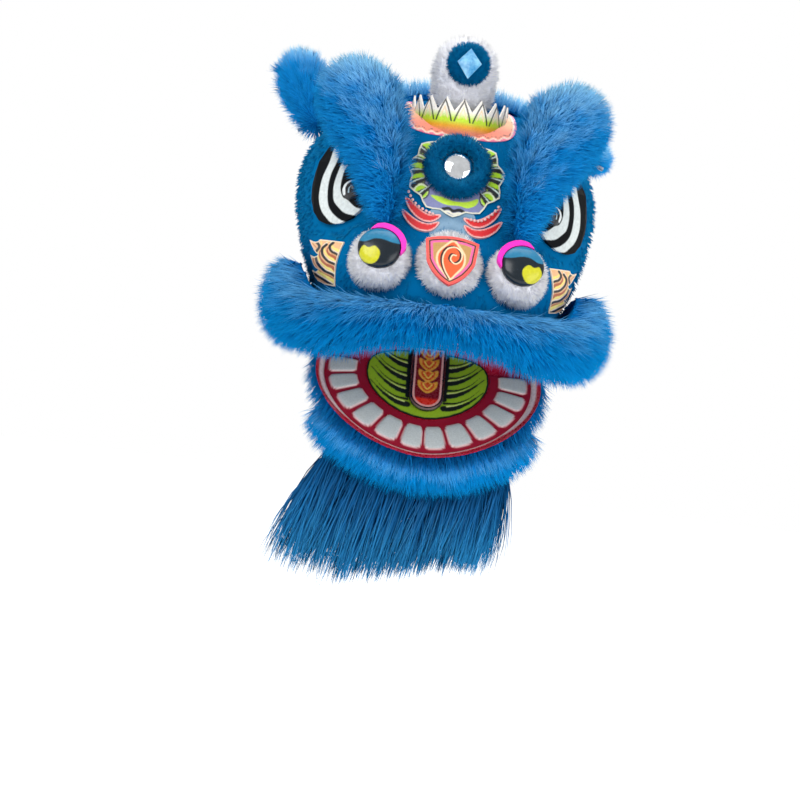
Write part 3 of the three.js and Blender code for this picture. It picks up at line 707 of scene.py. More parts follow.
@dataclass(frozen=True)
class Grained:
    """A hard, evenly coloured material with long grain along X: brushed rod, peeled rattan, cut glass."""

    name: str
    dark: str
    light: str
    roughness: float
    metallic: float
    grain: float
    stretch: float
    coat: float = 0.0

    def material(self) -> bpy.types.Material:
        """Makes the material from a stretched noise.

        Returns:
            The material.
        """
        material, tree = blank(self.name)
        place = add_node(tree, "ShaderNodeTexCoord")
        pitch = 1 / (self.grain * MM)
        turned = add_node(tree, "ShaderNodeMapping", {
            "Vector": place.outputs["Object"], "Scale": (self.stretch * pitch, pitch, pitch)
        })
        noise = add_node(tree, "ShaderNodeTexNoise", {
            "Vector": turned.outputs["Vector"], "Scale": 1.0, "Detail": 5.0
        })
        colour = ramp(tree, noise.outputs["Fac"], [(0.3, self.dark), (0.7, self.light)])
        rough = add_node(tree, "ShaderNodeMapRange", {
            "Value": noise.outputs["Fac"], "To Min": self.roughness * 0.7, "To Max": self.roughness * 1.3
        })
        relief = add_node(tree, "ShaderNodeBump", {
            "Height": noise.outputs["Fac"], "Strength": 0.15, "Distance": 0.0004
        })
        close(tree, {
            "Base Color": colour.outputs["Color"], "Roughness": rough.outputs["Result"],
            "Metallic": self.metallic, "Normal": relief.outputs["Normal"],
            "Coat Weight": self.coat, "Coat Roughness": 0.05,
        })
        return material


# Acrylic fleece, dyed and brushed: saturated and matt, with painted shade at the roots and a painted
# highlight on the tips that face up.
BLUE_FLEECE = Fleece("dyed_blue_fleece_brushed", "#0066B0", "#0080CE", "#0FA0EC", "#A8E0FA", 0.0)
# The same fleece, cut long to hang, painted darker throughout as painted shade under the jaw: darker still at
# the roots between its locks, with a painted highlight at their ends.
SHADED_BEARD_FLEECE = Fleece("dyed_blue_fleece_long_painted_shade", "#003864", "#005490", "#1688C6", "#7CC6EE", 0.0)
# Polyester plush, dyed and sheared: short and even, one deep tone, with a painted highlight on the tips that
# face up.
BLUE_PLUSH = Fleece("dyed_blue_plush_sheared", "#00568C", "#00669C", "#0C7CB0", "#3E9CCB", 0.0)
# White plush, sheared: bright and soft, with faint grey painted shade at the roots between the tufts.
WHITE_PLUSH = Fleece("white_plush_sheared", "#F0F1FA", "#F8F9FF", "#FFFFFF", "#FFFFFF", 0.05)
# Poster paint under thin varnish: flat bright colours with a soft shine.
PLAQUE_PAINT = Painted("poster_paint_varnished", 0.45, 0.15)
# The same paint on card, varnished once more: a little glossier.
FLAME_PAINT = Painted("flame_paint_varnished", 0.4, 0.2)
# Lacquer, brushed on: deep red under a clear coat, with long soft lights.
LACQUER = Painted("red_lacquer_brushed", 0.28, 0.5, grain=5.0, bump=0.08)
# Enamel paint on moulded paper: pale grey-white teeth with a gentle glint.
ENAMEL = Painted("tooth_enamel_paint", 0.35, 0.3)
# Enamel on the flat eye: black that stays deep, with little glare.
EYE_ENAMEL = Painted("eye_gloss_enamel", 0.5, 0.0, grain=6.0, bump=0.05, gloss=0.1)
# Enamel on turned balls and beads: small sharp lights.
BALL_ENAMEL = Painted("ball_gloss_enamel", 0.22, 0.0, grain=6.0, bump=0.03, gloss=0.4)
# Glass, silvered behind: a clear reflection with a slight waviness.
MIRROR_GLASS = Painted("silvered_mirror_glass", 0.06, 0.3, grain=18.0, bump=0.03, metallic=1.0)
# Woven satin: fine ribs and a broad low shine.
SATIN_CLOTH = Painted("satin_woven", 0.35, 0.1, grain=2.0, bump=0.2)
# Rattan, peeled: dull straw colour with fine grain along the bar.
RATTAN = Grained("peeled_rattan", "#9A7440", "#D9BC86", 0.55, 0.0, 1.5, 0.08)
# Steel, drawn: grey, with fine marks along the rod.
STEEL = Grained("drawn_steel_rod", "#8E9296", "#C2C6C9", 0.32, 1.0, 1.0, 0.05)
# Glass, cut and polished: smooth pale blue facets with bright lights.
STONE = Grained("cut_glass_stone", "#1E7FBE", "#8CCBE6", 0.06, 0.0, 14.0, 1.0, 1.0)

_MADE: dict[str, bpy.types.Material] = {}


def finish_of(kind: Fleece | Painted | Grained) -> bpy.types.Material:
    """Gives a finish's material, made once.

    Args:
        kind: The finish.

    Returns:
        The material.
    """
    if kind.name not in _MADE:
        _MADE[kind.name] = kind.material()
    return _MADE[kind.name]


def make_piece(
    name: str, skin: Skin, kind: Fleece | Painted, body: Body, replaces: Sequence[str] = (),
    values: dict[str, Array] | None = None, paint: Array | None = None, normals: Array | None = None,
    crease: float = 42,
) -> bpy.types.Object:
    """Adds one finished piece to the scene.

    Args:
        name: The piece's name.
        skin: Its surface.
        kind: Its finish.
        body: The body it rides on.
        replaces: CAD nodes that it stands for.
        values: Point attributes for its material.
        paint: Linear colour of each point.
        normals: Shading directions of each point, for soft pile.
        crease: Angle above which its edges stay sharp.

    Returns:
        The object.
    """
    mesh = skin.mesh(name)
    for key, numbers in (values or {}).items():
        mesh.attributes.new(key, "FLOAT", "POINT").data.foreach_set("value", numbers.astype(np.float32))
    if paint is not None:
        layer = mesh.attributes.new("paint", "FLOAT_COLOR", "POINT")
        layer.data.foreach_set("color", np.c_[paint, np.ones(len(paint))].reshape(-1).astype(np.float32))
    mesh.shade_smooth()
    if normals is None:
        mesh.set_sharp_from_angle(angle=math.radians(crease))
    else:
        mesh.normals_split_custom_set_from_vertices(normals.tolist())
    piece = bpy.data.objects.new(name, mesh)
    bpy.context.scene.collection.objects.link(piece)
    mesh.materials.append(finish_of(kind))
    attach(piece, body.value)
    if replaces:
        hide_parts(*replaces)
    log.info("%s: %d triangles on %s", name, len(skin.faces), body.value)
    return piece


@dataclass(frozen=True)
class Pile:
    """How a fleece stands on its backing. Lengths are in millimetres."""

    count: int
    length: float
    width: float
    lift: float
    spread: float = 0.22
    clump: float = 0.45
    locks: int = 500
    steps: int = 2
    inset: float = 12
    voxel: float = 6
    rounds: int = 5
    arch: float = 0.7


@dataclass
class Growth:
    """Strands of pile, as arrays ready for a mesh."""

    skin: Skin
    values: dict[str, Array]
    normals: Array

    @classmethod
    def on(
        cls, core: Skin, roots: Array, facing: Array, pile: Pile, comb: Comb, frost: Comb,
        rng: np.random.Generator, length: Array | None = None, under: Sequence[float] | None = None,
    ) -> Growth:
        """Grows one closed spike at each root, drawn together into locks, over its core.

        Args:
            core: The backing that the strands stand on.
            roots: Where they stand.
            facing: The surface directions there.
            pile: The pile's sizes.
            comb: Gives the brushed direction at places with directions.
            frost: Gives how pale the tips are there, from 0 to 1: a painted highlight.
            rng: The seeded generator.
            length: Each strand's own length in millimetres, in place of the pile's.
            under: A direction that no strand may rise along, where something lies on the pile.

        Returns:
            The strands and the core in one surface.
        """
        count, steps = len(roots), pile.steps
        brushed = unit(facing * pile.lift + unit(comb(roots, facing)) * (1 - pile.lift))
        lean = unit(brushed + rng.normal(0, pile.spread, (count, 3)))
        bend = unit(facing * pile.arch + lean * 0.6)
        if under is not None:
            cap = np.array(under)
            lean, bend = (
                unit(way - np.clip(way @ cap + 0.04, 0, None)[:, None] * cap) for way in (lean, bend)
            )
        size = np.full(count, pile.length) if length is None else length
        size = size * MM * rng.uniform(0.72, 1.12, count)
        tips = roots + lean * size[:, None]
        chief = rng.choice(count, min(pile.locks, count), replace=False)
        tree = KDTree(len(chief))
        for at in chief:
            tree.insert(roots[at], int(at))
        tree.balance()
        leader = np.array([tree.find(root)[1] for root in roots])
        shift = tips[leader] - tips
        far = np.linalg.norm(shift, axis=1, keepdims=True)
        pull = pile.clump * rng.uniform(0.5, 1, (count, 1)) * np.clip(1.3 - far / (size[:, None] * 0.6), 0, 1)
        tips = tips + shift * pull
        knee = roots + bend * size[:, None] * 0.5
        share = np.arange(steps + 1) / steps
        a, b, c = (1 - share) ** 2, 2 * share * (1 - share), share ** 2
        path = roots[:, None] * a[:, None] + knee[:, None] * b[:, None] + tips[:, None] * c[:, None]
        run = unit(np.gradient(path, axis=1)) if steps > 1 else np.repeat(unit(tips - roots)[:, None], 2, 1)
        side = unit(np.cross(run, unit(rng.normal(0, 1, (count, 1, 3)))))
        other = np.cross(run, side)
        rings = []
        for turn in (0, 2 * math.pi / 3, 4 * math.pi / 3):
            rings.append(side[:, :-1] * math.cos(turn) + other[:, :-1] * math.sin(turn))
        around = np.stack(rings, axis=2)
        thick = pile.width * MM / 2 * (1 - 0.85 * share[:-1]) * rng.uniform(0.8, 1.25, (count, 1))
        body = path[:, :-1, None] + around * thick[:, :, None, None]
        points = np.concatenate([body.reshape(count, -1, 3), tips[:, None]], axis=1)
        each = points.shape[1]
        pattern = [(0, 2, 1)]
        for ring in range(steps - 1):
            for at in range(3):
                a0, a1 = ring * 3 + at, ring * 3 + (at + 1) % 3
                pattern += [(a0, a1, a1 + 3), (a0, a1 + 3, a0 + 3)]
        top = (steps - 1) * 3
        pattern += [(top + at, top + (at + 1) % 3, each - 1) for at in range(3)]
        faces = (np.array(pattern)[None] + (np.arange(count) * each)[:, None, None]).reshape(-1, 3)
        along = np.append(np.repeat(share[:-1], 3), 1.0)
        lock_tone = 0.28 * rng.normal(0, 1, count)[leader] * 0.7
        tone = np.clip(0.5 + lock_tone + 0.14 * rng.normal(0, 1, count), 0, 1)
        # Each strand's share of the pale tip colour: a painted highlight, strongest where the fleece faces
        # up.
        pale = np.clip(frost(roots, facing), 0, 1)
        soft = unit(np.concatenate([
            (facing[:, None, None] + around * 0.16).reshape(count, -1, 3), (facing + lean * 0.4)[:, None]
        ], axis=1))
        base = len(core.points)
        return cls(
            joined([core, Skin(points.reshape(-1, 3), faces)]),
            {
                "along": np.concatenate([np.full(base, 0.3), np.tile(along, count)]),
                "tone": np.concatenate([np.full(base, 0.4), np.repeat(tone, each)]),
                "frost": np.concatenate([np.zeros(base), np.repeat(pale, each)]),
            },
            np.vstack([core.normals(), soft.reshape(-1, 3)]),
        )


def painted_top_highlight(low: float, gain: float) -> Comb:
    """Makes a rule for a painted highlight: pale tips, paler still where the fleece faces up."""
    return lambda places, facing: low + gain * np.clip(facing[:, 2] * 1.2 - 0.1, 0, 1)


@dataclass
class FurBody:
    """A padded roll or lobe covered in fleece, which takes the place of its CAD solid.

    Its strands lie flat on the side that looks along under, where it is sewn on.
    """

    node: str
    body: Body
    pile: Pile
    comb: Comb
    finish: Fleece = BLUE_FLEECE
    slot: Slot = Slot.BLUE_FUR
    # Painted highlight on the tips, strongest where the fleece faces up.
    frost: Comb = field(default_factory=lambda: painted_top_highlight(0.0, 0.35))
    seed: int = 1
    fill: float = 0.6
    under: tuple[float, float, float] | None = None

    def build(self) -> bpy.types.Object:
        """Pads the core, grows the fleece on it and places the piece.

        Returns:
            The piece.
        """
        rng = np.random.default_rng(self.seed)
        pile = self.pile
        core = Skin.of_node(self.node).remeshed(pile.voxel, pile.rounds).inset(pile.inset)
        roots, facing = core.scatter(pile.count, rng)
        grown = Growth.on(core, roots, facing, pile, self.comb, self.frost, rng, under=self.under)
        piece = make_piece(
            f"fleece_{self.node}", grown.skin, self.finish, self.body, [self.node],
            values=grown.values, normals=grown.normals,
        )
        return piece


def brushed(*way: float) -> Comb:
    """Makes a comb with one direction everywhere."""
    return lambda places, facing: np.tile(np.array(way, float), (len(places), 1))


def lip_comb(places: Array, facing: Array) -> Array:
    """Brushes the lip roll down and out from the mouth, fanning to both sides.

    Args:
        places: Where the strands stand.
        facing: The surface directions there; not used.

    Returns:
        The brushed directions.
    """
    out = places - np.array([0, -0.12, 0])
    out[:, 2] = 0
    fan = np.zeros_like(places)
    fan[:, 0] = np.clip(places[:, 0] * 2.2, -0.6, 0.6)
    return unit(out) * 0.5 + fan * 0.6 + np.array([0, 0, -0.85])


def chin_comb(places: Array, facing: Array) -> Array:
    """Brushes the chin's fleece out from the jaw and down.

    Args:
        places: Where the strands stand.
        facing: The surface directions there; not used.

    Returns:
        The brushed directions.
    """
    out = places - np.array([0, -0.12, 0])
    out[:, 2] = 0
    return unit(out) * 0.45 + np.array([0, 0, -0.9])


def dome_comb(places: Array, facing: Array) -> Array:
    """Brushes the dome's plush down, fanning to both sides."""
    return places * np.array([1.5, 0, 0]) + np.array([0, 0.2, -0.8])


def away_from(*centre: float) -> Comb:
    """Makes a comb that radiates from one place."""
    return lambda places, facing: unit(places - np.array(centre, float))


@dataclass
class JawFringe:
    """Fleece sewn under the jaw's lip, which closes the seam above the chin's roll."""

    inner: float = 0.82
    rear: float = -0.09
    pile: Pile = Pile(6000, 40, 1.9, 0.25, spread=0.18, clump=0.3, locks=600, steps=1)

    def build(self) -> bpy.types.Object:
        """Grows the fringe on the underside of the jaw and places the piece.

        Returns:
            The piece.
        """
        rng = np.random.default_rng(31)
        skin = Skin.of_node("lower_jaw").fine(20)
        roots, facing = skin.scatter(self.pile.count * 6, rng)
        share = JAW.share(JAW.local(Skin(roots, np.empty((0, 3), int))))
        keep = (facing @ np.array(JAW.upward) < -0.15) & (share > self.inner) & (roots[:, 1] < self.rear)
        roots, facing = roots[keep][:self.pile.count], facing[keep][:self.pile.count]
        bare = Skin(np.empty((0, 3)), np.empty((0, 3), int))
        grown = Growth.on(
            bare, roots, facing, self.pile, chin_comb, painted_top_highlight(0.04, 0.3), rng, under=JAW.upward
        )
        return make_piece(
            "fleece_jaw_fringe", grown.skin, BLUE_FLEECE, Body.JAW,
            values=grown.values, normals=grown.normals,
        )


@dataclass
class Beard:
    """The beard: long brushed locks that hang under the chin and drift to the lion's right."""

    node: str = "beard"
    foot: float = -0.588
    short: float = 0.05
    level: float = -0.5
    pile: Pile = Pile(
        4200, 150, 2.8, 0.12, spread=0.11, clump=0.5, locks=300, steps=3,
        inset=2, voxel=7, rounds=4, arch=0.12,
    )

    def build(self) -> bpy.types.Object:
        """Grows the locks and places the piece.

        Returns:
            The piece.
        """
        rng = np.random.default_rng(41)
        core = Skin.of_node(self.node).remeshed(self.pile.voxel, self.pile.rounds).inset(self.pile.inset)
        deep = core.points[:, 2] - self.level
        core.points[:, 2] = self.level + np.where(deep < 0, deep * 0.15, deep)
        roots, facing = core.scatter(self.pile.count, rng)
        foot = self.foot + self.short * np.clip(roots[:, 0] / 0.18 + 0.5, 0, 1)
        length = np.clip((roots[:, 2] - foot) / MM * rng.uniform(0.7, 1.0, len(roots)), 30, 210)
        grown = Growth.on(
            core, roots, facing, self.pile, brushed(-0.22, 0.0, -1.0), painted_top_highlight(0.1, 0.2), rng, length
        )
        # The beard's fleece is a darker copy of the lip's: painted shade for its place under the jaw.
        return make_piece(
            "fleece_beard", grown.skin, SHADED_BEARD_FLEECE, Body.JAW, [self.node],
            values=grown.values, normals=grown.normals,
        )


def dome_skin() -> Skin:
    """Gives the dome's rounded surface."""
    return Skin.of_node("head_shell").fine(22)


@dataclass
class Dome:
    """The head's paper dome, smooth inside and covered in short plush outside."""

    node: str = "head_shell"
    pile: Pile = Pile(10500, 13, 3.8, 0.4, spread=0.2, clump=0.1, locks=1600, steps=1)
    spare: float = 2.6
    covers: tuple[str, ...] = (
        "eye_left", "eye_right", "forehead_plate", "snout_stripe_left", "snout_stripe_right",
        "cheek_flame_left", "cheek_flame_right", "horn_collar", "nose_pad", "nostril_left", "nostril_right",
    )

    def build(self) -> bpy.types.Object:
        """Grows plush on the outside of the dome, clear of the panels.

        Returns:
            The piece.
        """
        rng = np.random.default_rng(7)
        core = dome_skin()
        roots, facing = core.scatter(int(self.pile.count * self.spare), rng)
        middle = np.array([0, -0.02, 0.1])
        keep = ((roots - middle) * facing).sum(1) > 0.02
        roots, facing = roots[keep], facing[keep]
        panels = joined([Skin.of_node(name) for name in self.covers]).tree()
        clear = np.array([panels.find_nearest(root, 0.012)[0] is None for root in roots])
        roots, facing = roots[clear][:self.pile.count], facing[clear][:self.pile.count]
        grown = Growth.on(
            core, roots, facing, self.pile, dome_comb, painted_top_highlight(0.05, 0.3), rng
        )
        grown.values["along"][:len(core.points)] = 0.4
        return make_piece(
            "plush_dome", grown.skin, BLUE_PLUSH, Body.HEAD, [self.node],
            values=grown.values, normals=grown.normals,
        )


@dataclass
class Panel:
    """A painted card panel or hard part that keeps its CAD shape, rounded and painted."""

    node: str
    finish: Painted
    slot: Slot
    painter: Callable[[Skin, Array], Array]
    pitch: float = 2.2
    body: Body = Body.HEAD
    crease: float = 42

    @property
    def aim(self) -> tuple[float, float, float]:
        """The way that the painted side looks."""
        return (0, -0.5, 0.86) if self.body is Body.JAW else (0, -1, 0)

    def build(self) -> bpy.types.Object:
        """Rounds the solid, paints it and places the piece.

        Returns:
            The piece.
        """
        solid = Skin.of_node(self.node)
        skin = solid.fine(14, crease=self.crease).fine(self.pitch, self.aim, self.crease)
        gap = solid.edge_gap(skin, self.crease)
        return make_piece(
            f"painted_{self.node}", skin, self.finish, self.body, [self.node],
            paint=self.painter(skin, gap), crease=self.crease,
        )


def front(skin: Skin, sign: float = 1) -> Array:
    """Gives the front view of a surface's points in millimetres, mirrored for the right side."""
    return np.c_[skin.points[:, 0] * sign, skin.points[:, 2]] / MM


EYE_BANDS = (
    (
        (228, 284), (238, 265), (245, 236), (254, 207), (257, 181), (256, 161), (249, 141), (237, 127),
        (228, 120), (209, 117), (190, 117), (172, 121), (147, 127), (157, 133), (169, 127), (185, 125),
        (204, 125), (220, 132), (234, 146), (240, 163), (242, 189), (239, 215), (232, 236), (225, 258),
        (214, 274),
    ),
    (
        (207, 258), (220, 239), (227, 217), (231, 197), (231, 179), (228, 163), (219, 152), (206, 142),
        (189, 139), (174, 139), (152, 142), (150, 154), (173, 153), (188, 156), (202, 167), (212, 172),
        (218, 186), (218, 203), (216, 218), (211, 232), (201, 243),
    ),
)


def eye_paint(sign: float) -> Callable[[Skin, Array], Array]:
    """Paints an eye: gloss black with two pale bands round the ball.

    Args:
        sign: 1 for the lion's left side, -1 for its right.

    Returns:
        The painter of that side's surface.
    """
    def painter(skin: Skin, gap: Array) -> Array:
        """Lays the bands on the eye's points.

        Args:
            skin: The surface to paint.
            gap: Each point's distance from a sharp edge, in millimetres; not used.

        Returns:
            The linear colour of each point.
        """
        paint = Paint.ground(front(skin, sign), "#05080C")
        for rows in EYE_BANDS:
            paint.fill(rows, "#D3DAD8")
        return paint.colour
    return painter


def pupil_paint(sign: float) -> Callable[[Skin, Array], Array]:
    """Paints the eye's ball: black with a painted highlight of a pale crescent and a small arc.

    Args:
        sign: 1 for the lion's left side, -1 for its right.

    Returns:
        The painter of that side's surface.
    """
    def painter(skin: Skin, gap: Array) -> Array:
        """Lays the painted highlight on the ball's points.

        Args:
            skin: The surface to paint.
            gap: Each point's distance from a sharp edge, in millimetres; not used.

        Returns:
            The linear colour of each point.
        """
        paint = Paint.ground(front(skin, sign), "#0C1218")
        # Painted highlight: the pale crescent and the fainter arc stand in for light on the glossy ball.
        paint.line([(211, 178), (212, 190), (207, 200), (197, 206), (186, 203)], 5, "#DDE3E3", True)
        paint.line([(203, 182), (203, 190), (199, 196)], 2.4, "#9DB4BE", True)
        return paint.colour
    return painter


PLAQUE_LOBES = ((44, 305, 17), (65, 283, 18), (76, 255, 18), (77, 226, 17), (66, 202, 15), (20, 313, 13))
PLAQUE_CLAWS = (
    ((60, 312), (47, 298), (38, 282)), ((84, 290), (66, 280), (48, 270)), ((96, 262), (76, 262), (54, 256)),
    ((98, 236), (78, 240), (55, 242)), ((92, 208), (74, 220), (54, 228)), ((76, 186), (64, 198), (46, 214)),
)
PLAQUE_WAVE = (
    (-92, 204), (-76, 190), (-67, 176), (-52, 169), (-34, 168), (-10, 175), (0, 171), (14, 174), (29, 167),
    (41, 164), (56, 167), (68, 178), (76, 190), (92, 204),
)
PLAQUE_MOON = (
    (-46, 196), (-30, 186), (-11, 181), (10, 182), (28, 180), (44, 188), (46, 200), (26, 192), (0, 190),
    (-26, 196),
)


def plaque_paint(skin: Skin, gap: Array) -> Array:
    """Paints the forehead plaque: lime lobes and black claws round the mirror on a mauve field.

    Args:
        skin: The surface to paint.
        gap: Each point's distance from a sharp edge, in millimetres.

    Returns:
        The linear colour of each point.
    """
    flat = front(skin)
    paint = Paint.ground(flat, "#8388B4")
    for sign in (-1, 1):
        for x, z, radius in PLAQUE_LOBES:
            paint.disc((sign * x, z), radius + 2.5, "#10151A")
            paint.disc((sign * x, z), radius, "#E6F2C2")
            paint.disc((sign * x * 0.97, z - 1), radius - 3, "#B5E61D")
        for claw in PLAQUE_CLAWS:
            rows = [(sign * x, z) for x, z in claw]
            paint.line(rows, 18, "#0B0F14", True)
            paint.line([(x, z + 3) for x, z in rows], 3.2, "#DDF3E4", True)
    paint.fill(PLAQUE_MOON, "#C4EA3A")
    paint.line(PLAQUE_WAVE, 6, "#0B0F14")
    paint.line([(x, z - 6) for x, z in PLAQUE_WAVE], 4, "#E8E6D0")
    paint.band(gap, -1, 3, "#E8E6D0")
    return paint.colour


def stripe_paint(flat: Array, depth: Array) -> Array:
    """Paints a snout stripe: bright red with pale pink edges.

    Args:
        flat: The points in the front view, in millimetres.
        depth: How deep each lies inside the outline, in millimetres.

    Returns:
        The linear colour of each point.
    """
    paint = Paint.ground(flat, "#DB141C")
    paint.band(depth, -1, 2.4, "#F4B4AE")
    return paint.colour


def satin_paint(flat: Array, depth: Array) -> Array:
    """Paints the snout's satin: silver blue with a painted sheen in soft bands across it, as light on folds.

    Args:
        flat: The points in the front view, in millimetres.
        depth: How deep each lies inside the outline, in millimetres; not used.

    Returns:
        The linear colour of each point.
    """
    paint = Paint.ground(flat, "#5F87A6")
    # Lighter bands of painted sheen where folds would catch the light; the satin itself is flat.
    paint.lay(0.45 + 0.45 * np.sin(flat[:, 1] / 5.5 + np.abs(flat[:, 0]) / 16), "#86A9C2")
    return paint.colour


def fringe_paint(flat: Array, depth: Array) -> Array:
    """Paints the fringe under the collar: coral with a pale scalloped edge and black dashes.

    Args:
        flat: The points in the front view, in millimetres.
        depth: How deep each lies inside the outline, in millimetres.

    Returns:
        The linear colour of each point.
    """
    paint = Paint.ground(flat, "#F4876B")
    wave = np.sin(flat[:, 0] / 3.2)
    paint.lay((flat[:, 1] - 338) / 14, "#F7B27E")
    paint.lay((6.5 + 2 * wave - depth) / 1.2, "#F6D9C4")
    paint.lay((3.2 + 2 * wave - depth) / 1.2, "#EE6A8C")
    paint.lay((0.8 - np.abs(depth - 9 - 2 * wave)) / 0.9, "#16130F")
    return paint.colour


CHEEK_FLAMES = (
    ((198, 6), (214, 20), (230, 26), (245, 40), (250, 58), (245, 72), (254, 82)),
    ((199, 28), (212, 40), (226, 45), (237, 56), (239, 68), (232, 77)),
    ((200, 52), (211, 60), (222, 65), (226, 74), (220, 82)),
    ((212, 0), (230, 9), (246, 18), (257, 34), (261, 52)),
)


def cheek_paint(sign: float) -> Callable[[Skin, Array], Array]:
    """Paints a cheek flame: peach, yellow and brown tongues between black and pale hooked lines.

    Args:
        sign: 1 for the lion's left side, -1 for its right.

    Returns:
        The painter of that side's surface.
    """
    def painter(skin: Skin, gap: Array) -> Array:
        """Lays the tongues on the flame's points.

        Args:
            skin: The surface to paint.
            gap: Each point's distance from a sharp edge, in millimetres.

        Returns:
            The linear colour of each point.
        """
        flat = front(skin, sign)
        paint = Paint.ground(flat, "#F0B886")
        for rows in CHEEK_FLAMES:
            paint.line([(x + 4, z - 6) for x, z in rows], 7, "#B05A30", True)
            paint.line([(x - 3, z + 7) for x, z in rows], 6, "#F6E27A", True)
            paint.line([(x, z + 2.6) for x, z in rows], 3.4, "#FBEFDC")
            paint.line(rows, 5.0, "#120D0B")
        paint.band(gap, -1, 2.0, "#F6DFC0")
        return paint.colour
    return painter


SHIELD_DROP = (
    (2, 114), (16, 102), (27, 86), (26, 66), (12, 48), (0, 36), (-13, 48), (-27, 66), (-28, 86), (-15, 102),
)
SHIELD_CURL = (
    (-2, 40), (-14, 58), (-19, 78), (-12, 96), (4, 101), (16, 92), (16, 78), (6, 70), (-4, 77), (-1, 86),
    (6, 86),
)


def shield_paint(skin: Skin, gap: Array) -> Array:
    """Paints the nose shield: coral rim, black line, pink band and an orange flame drop on gold-brown.

    Args:
        skin: The surface to paint.
        gap: Each point's distance from a sharp edge, in millimetres.

    Returns:
        The linear colour of each point.
    """
    paint = Paint.ground(front(skin), "#B58B4E")
    paint.band(gap, 8, 12.5, "#EE5C9A")
    paint.fill(SHIELD_DROP, "#F9C79C")
    paint.fill([(x * 0.86, 76 + (z - 76) * 0.88) for x, z in SHIELD_DROP], "#F4551F")
    paint.line(SHIELD_CURL, 4.4, "#2A0D08")
    paint.line([(x + 3, z - 1) for x, z in SHIELD_CURL], 2.2, "#FCDCB4")
    paint.band(gap, 5.2, 8, "#141012")
    paint.band(gap, -1, 5, "#F0504A")
    return paint.colour


NOSTRIL_LID = (
    (96, 96), (110, 120), (137, 126), (166, 118), (180, 94), (166, 90), (148, 98), (130, 98), (112, 94),
)
NOSTRIL_PATCH = (
    (136, 74), (146, 84), (158, 80), (168, 82), (174, 66), (164, 52), (148, 50), (138, 60),
)


def dome_paint(sign: float) -> Callable[[Skin, Array], Array]:
    """Paints a nostril dome: teal over navy with a yellow patch low on its outer side.

    Args:
        sign: 1 for the lion's left side, -1 for its right.

    Returns:
        The painter of that side's surface.
    """
    def painter(skin: Skin, gap: Array) -> Array:
        """Lays the patches on the dome's points.

        Args:
            skin: The surface to paint.
            gap: Each point's distance from a sharp edge, in millimetres; not used.

        Returns:
            The linear colour of each point.
        """
        flat = front(skin, sign)
        paint = Paint.ground(flat, "#06151F")
        paint.fill(NOSTRIL_LID, "#1E7399")
        paint.fill(NOSTRIL_PATCH, "#BDBB1C")
        return paint.colour
    return painter


def plain_paint(code: str, edge: str | None = None, width: float = 2) -> Callable[[Skin, Array], Array]:
    """Makes a painter of one colour with an edge line.

    Args:
        code: The ground colour.
        edge: The edge line's colour, or none.
        width: The line's width in millimetres.

    Returns:
        The painter.
    """
    def painter(skin: Skin, gap: Array) -> Array:
        """Lays the ground and the edge line.

        Args:
            skin: The surface to paint.
            gap: Each point's distance from a sharp edge, in millimetres.

        Returns:
            The linear colour of each point.
        """
        paint = Paint.ground(front(skin), code)
        if edge:
            paint.band(gap, -1, width, edge)
        return paint.colour
    return painter


def collar_paint(skin: Skin, gap: Array) -> Array:
    """Paints the horn collar: petals from coral at the foot to white at the tips, with black spikes.

    Args:
        skin: The surface to paint.
        gap: Each point's distance from a sharp edge, in millimetres; not used.

    Returns:
        The linear colour of each point.
    """
    x, y, z = skin.points.T / MM
    turn = np.degrees(np.arctan2(x, -(y + 64)))
    petal = (turn + 96) / 192 * 9
    across = np.abs(petal - np.floor(petal) - 0.5) * 2
    rise = np.clip((z - 328) / 58, 0, 1)
    paint = Paint.ground(np.c_[turn, z], "#F58A6A")
    paint.lay((z - 326) / 10, "#F5A81C")
    paint.lay((z - 337) / 10, "#C6E52C")
    paint.lay((z - 352) / 14, "#F8F1E4")
    arch = 1 - rise ** 1.6
    paint.lay((0.12 - np.abs(across - arch)) * 14 * (rise > 0.3), "#0D1014")
    paint.lay((0.1 - np.abs(across - arch + 0.34)) * 14 * (rise > 0.4), "#F9D9A8")
    return paint.colour


@dataclass(frozen=True)
class JawForm:
    """The jaw's own coordinates: the rod, the angle it hangs open by, and its rounded outline."""

    y: float = -40
    z: float = -45
    open: float = 55
    half_width: float = 222
    middle: float = 150
    front: float = 178
    rear: float = 108
    power: float = 1.8
    rear_power: float = 3
    setback: float = 49
    dish: tuple[tuple[float, float], ...] = ((0.56, -14), (0.92, -2), (0.96, 4), (1.0, 17))
    upward: tuple[float, float, float] = (0, -0.82, 0.57)

    def local(self, skin: Skin) -> Array:
        """Gives points in the jaw's own millimetres, with the jaw shut level.

        Args:
            skin: The surface with the points.

        Returns:
            One row of x, y and z for each point.
        """
        x, y, z = (skin.points / MM).T
        y, z = y - self.y, z - self.z
        turn = math.radians(self.open)
        return np.c_[x, y * math.cos(turn) + z * math.sin(turn), -y * math.sin(turn) + z * math.cos(turn)]

    def share(self, flat: Array) -> Array:
        """Gives how far out each point lies, from 0 at the middle to 1 at the lip.

        Args:
            flat: The points in the jaw's own millimetres.

        Returns:
            One share for each point.
        """
        out = np.full(len(flat), 0.8)
        for _ in range(24):
            rise = flat[:, 1] + self.middle - self.setback * (1 - out)
            ahead = rise < 0
            power = np.where(ahead, self.power, self.rear_power)
            reach = np.where(ahead, self.front, self.rear)
            wide, deep = np.abs(flat[:, 0]) / self.half_width, np.abs(rise) / reach
            out = (wide ** power + deep ** power) ** (1 / power)
        return out

    def height(self, flat: Array, out: Array) -> Array:
        """Gives each point's height above the dish.

        Args:
            flat: The points in the jaw's own millimetres.
            out: How far out each point lies.

        Returns:
            The heights in millimetres.
        """
        shares, heights = zip(*self.dish)
        return flat[:, 2] - np.interp(out, shares, heights)


JAW = JawForm()


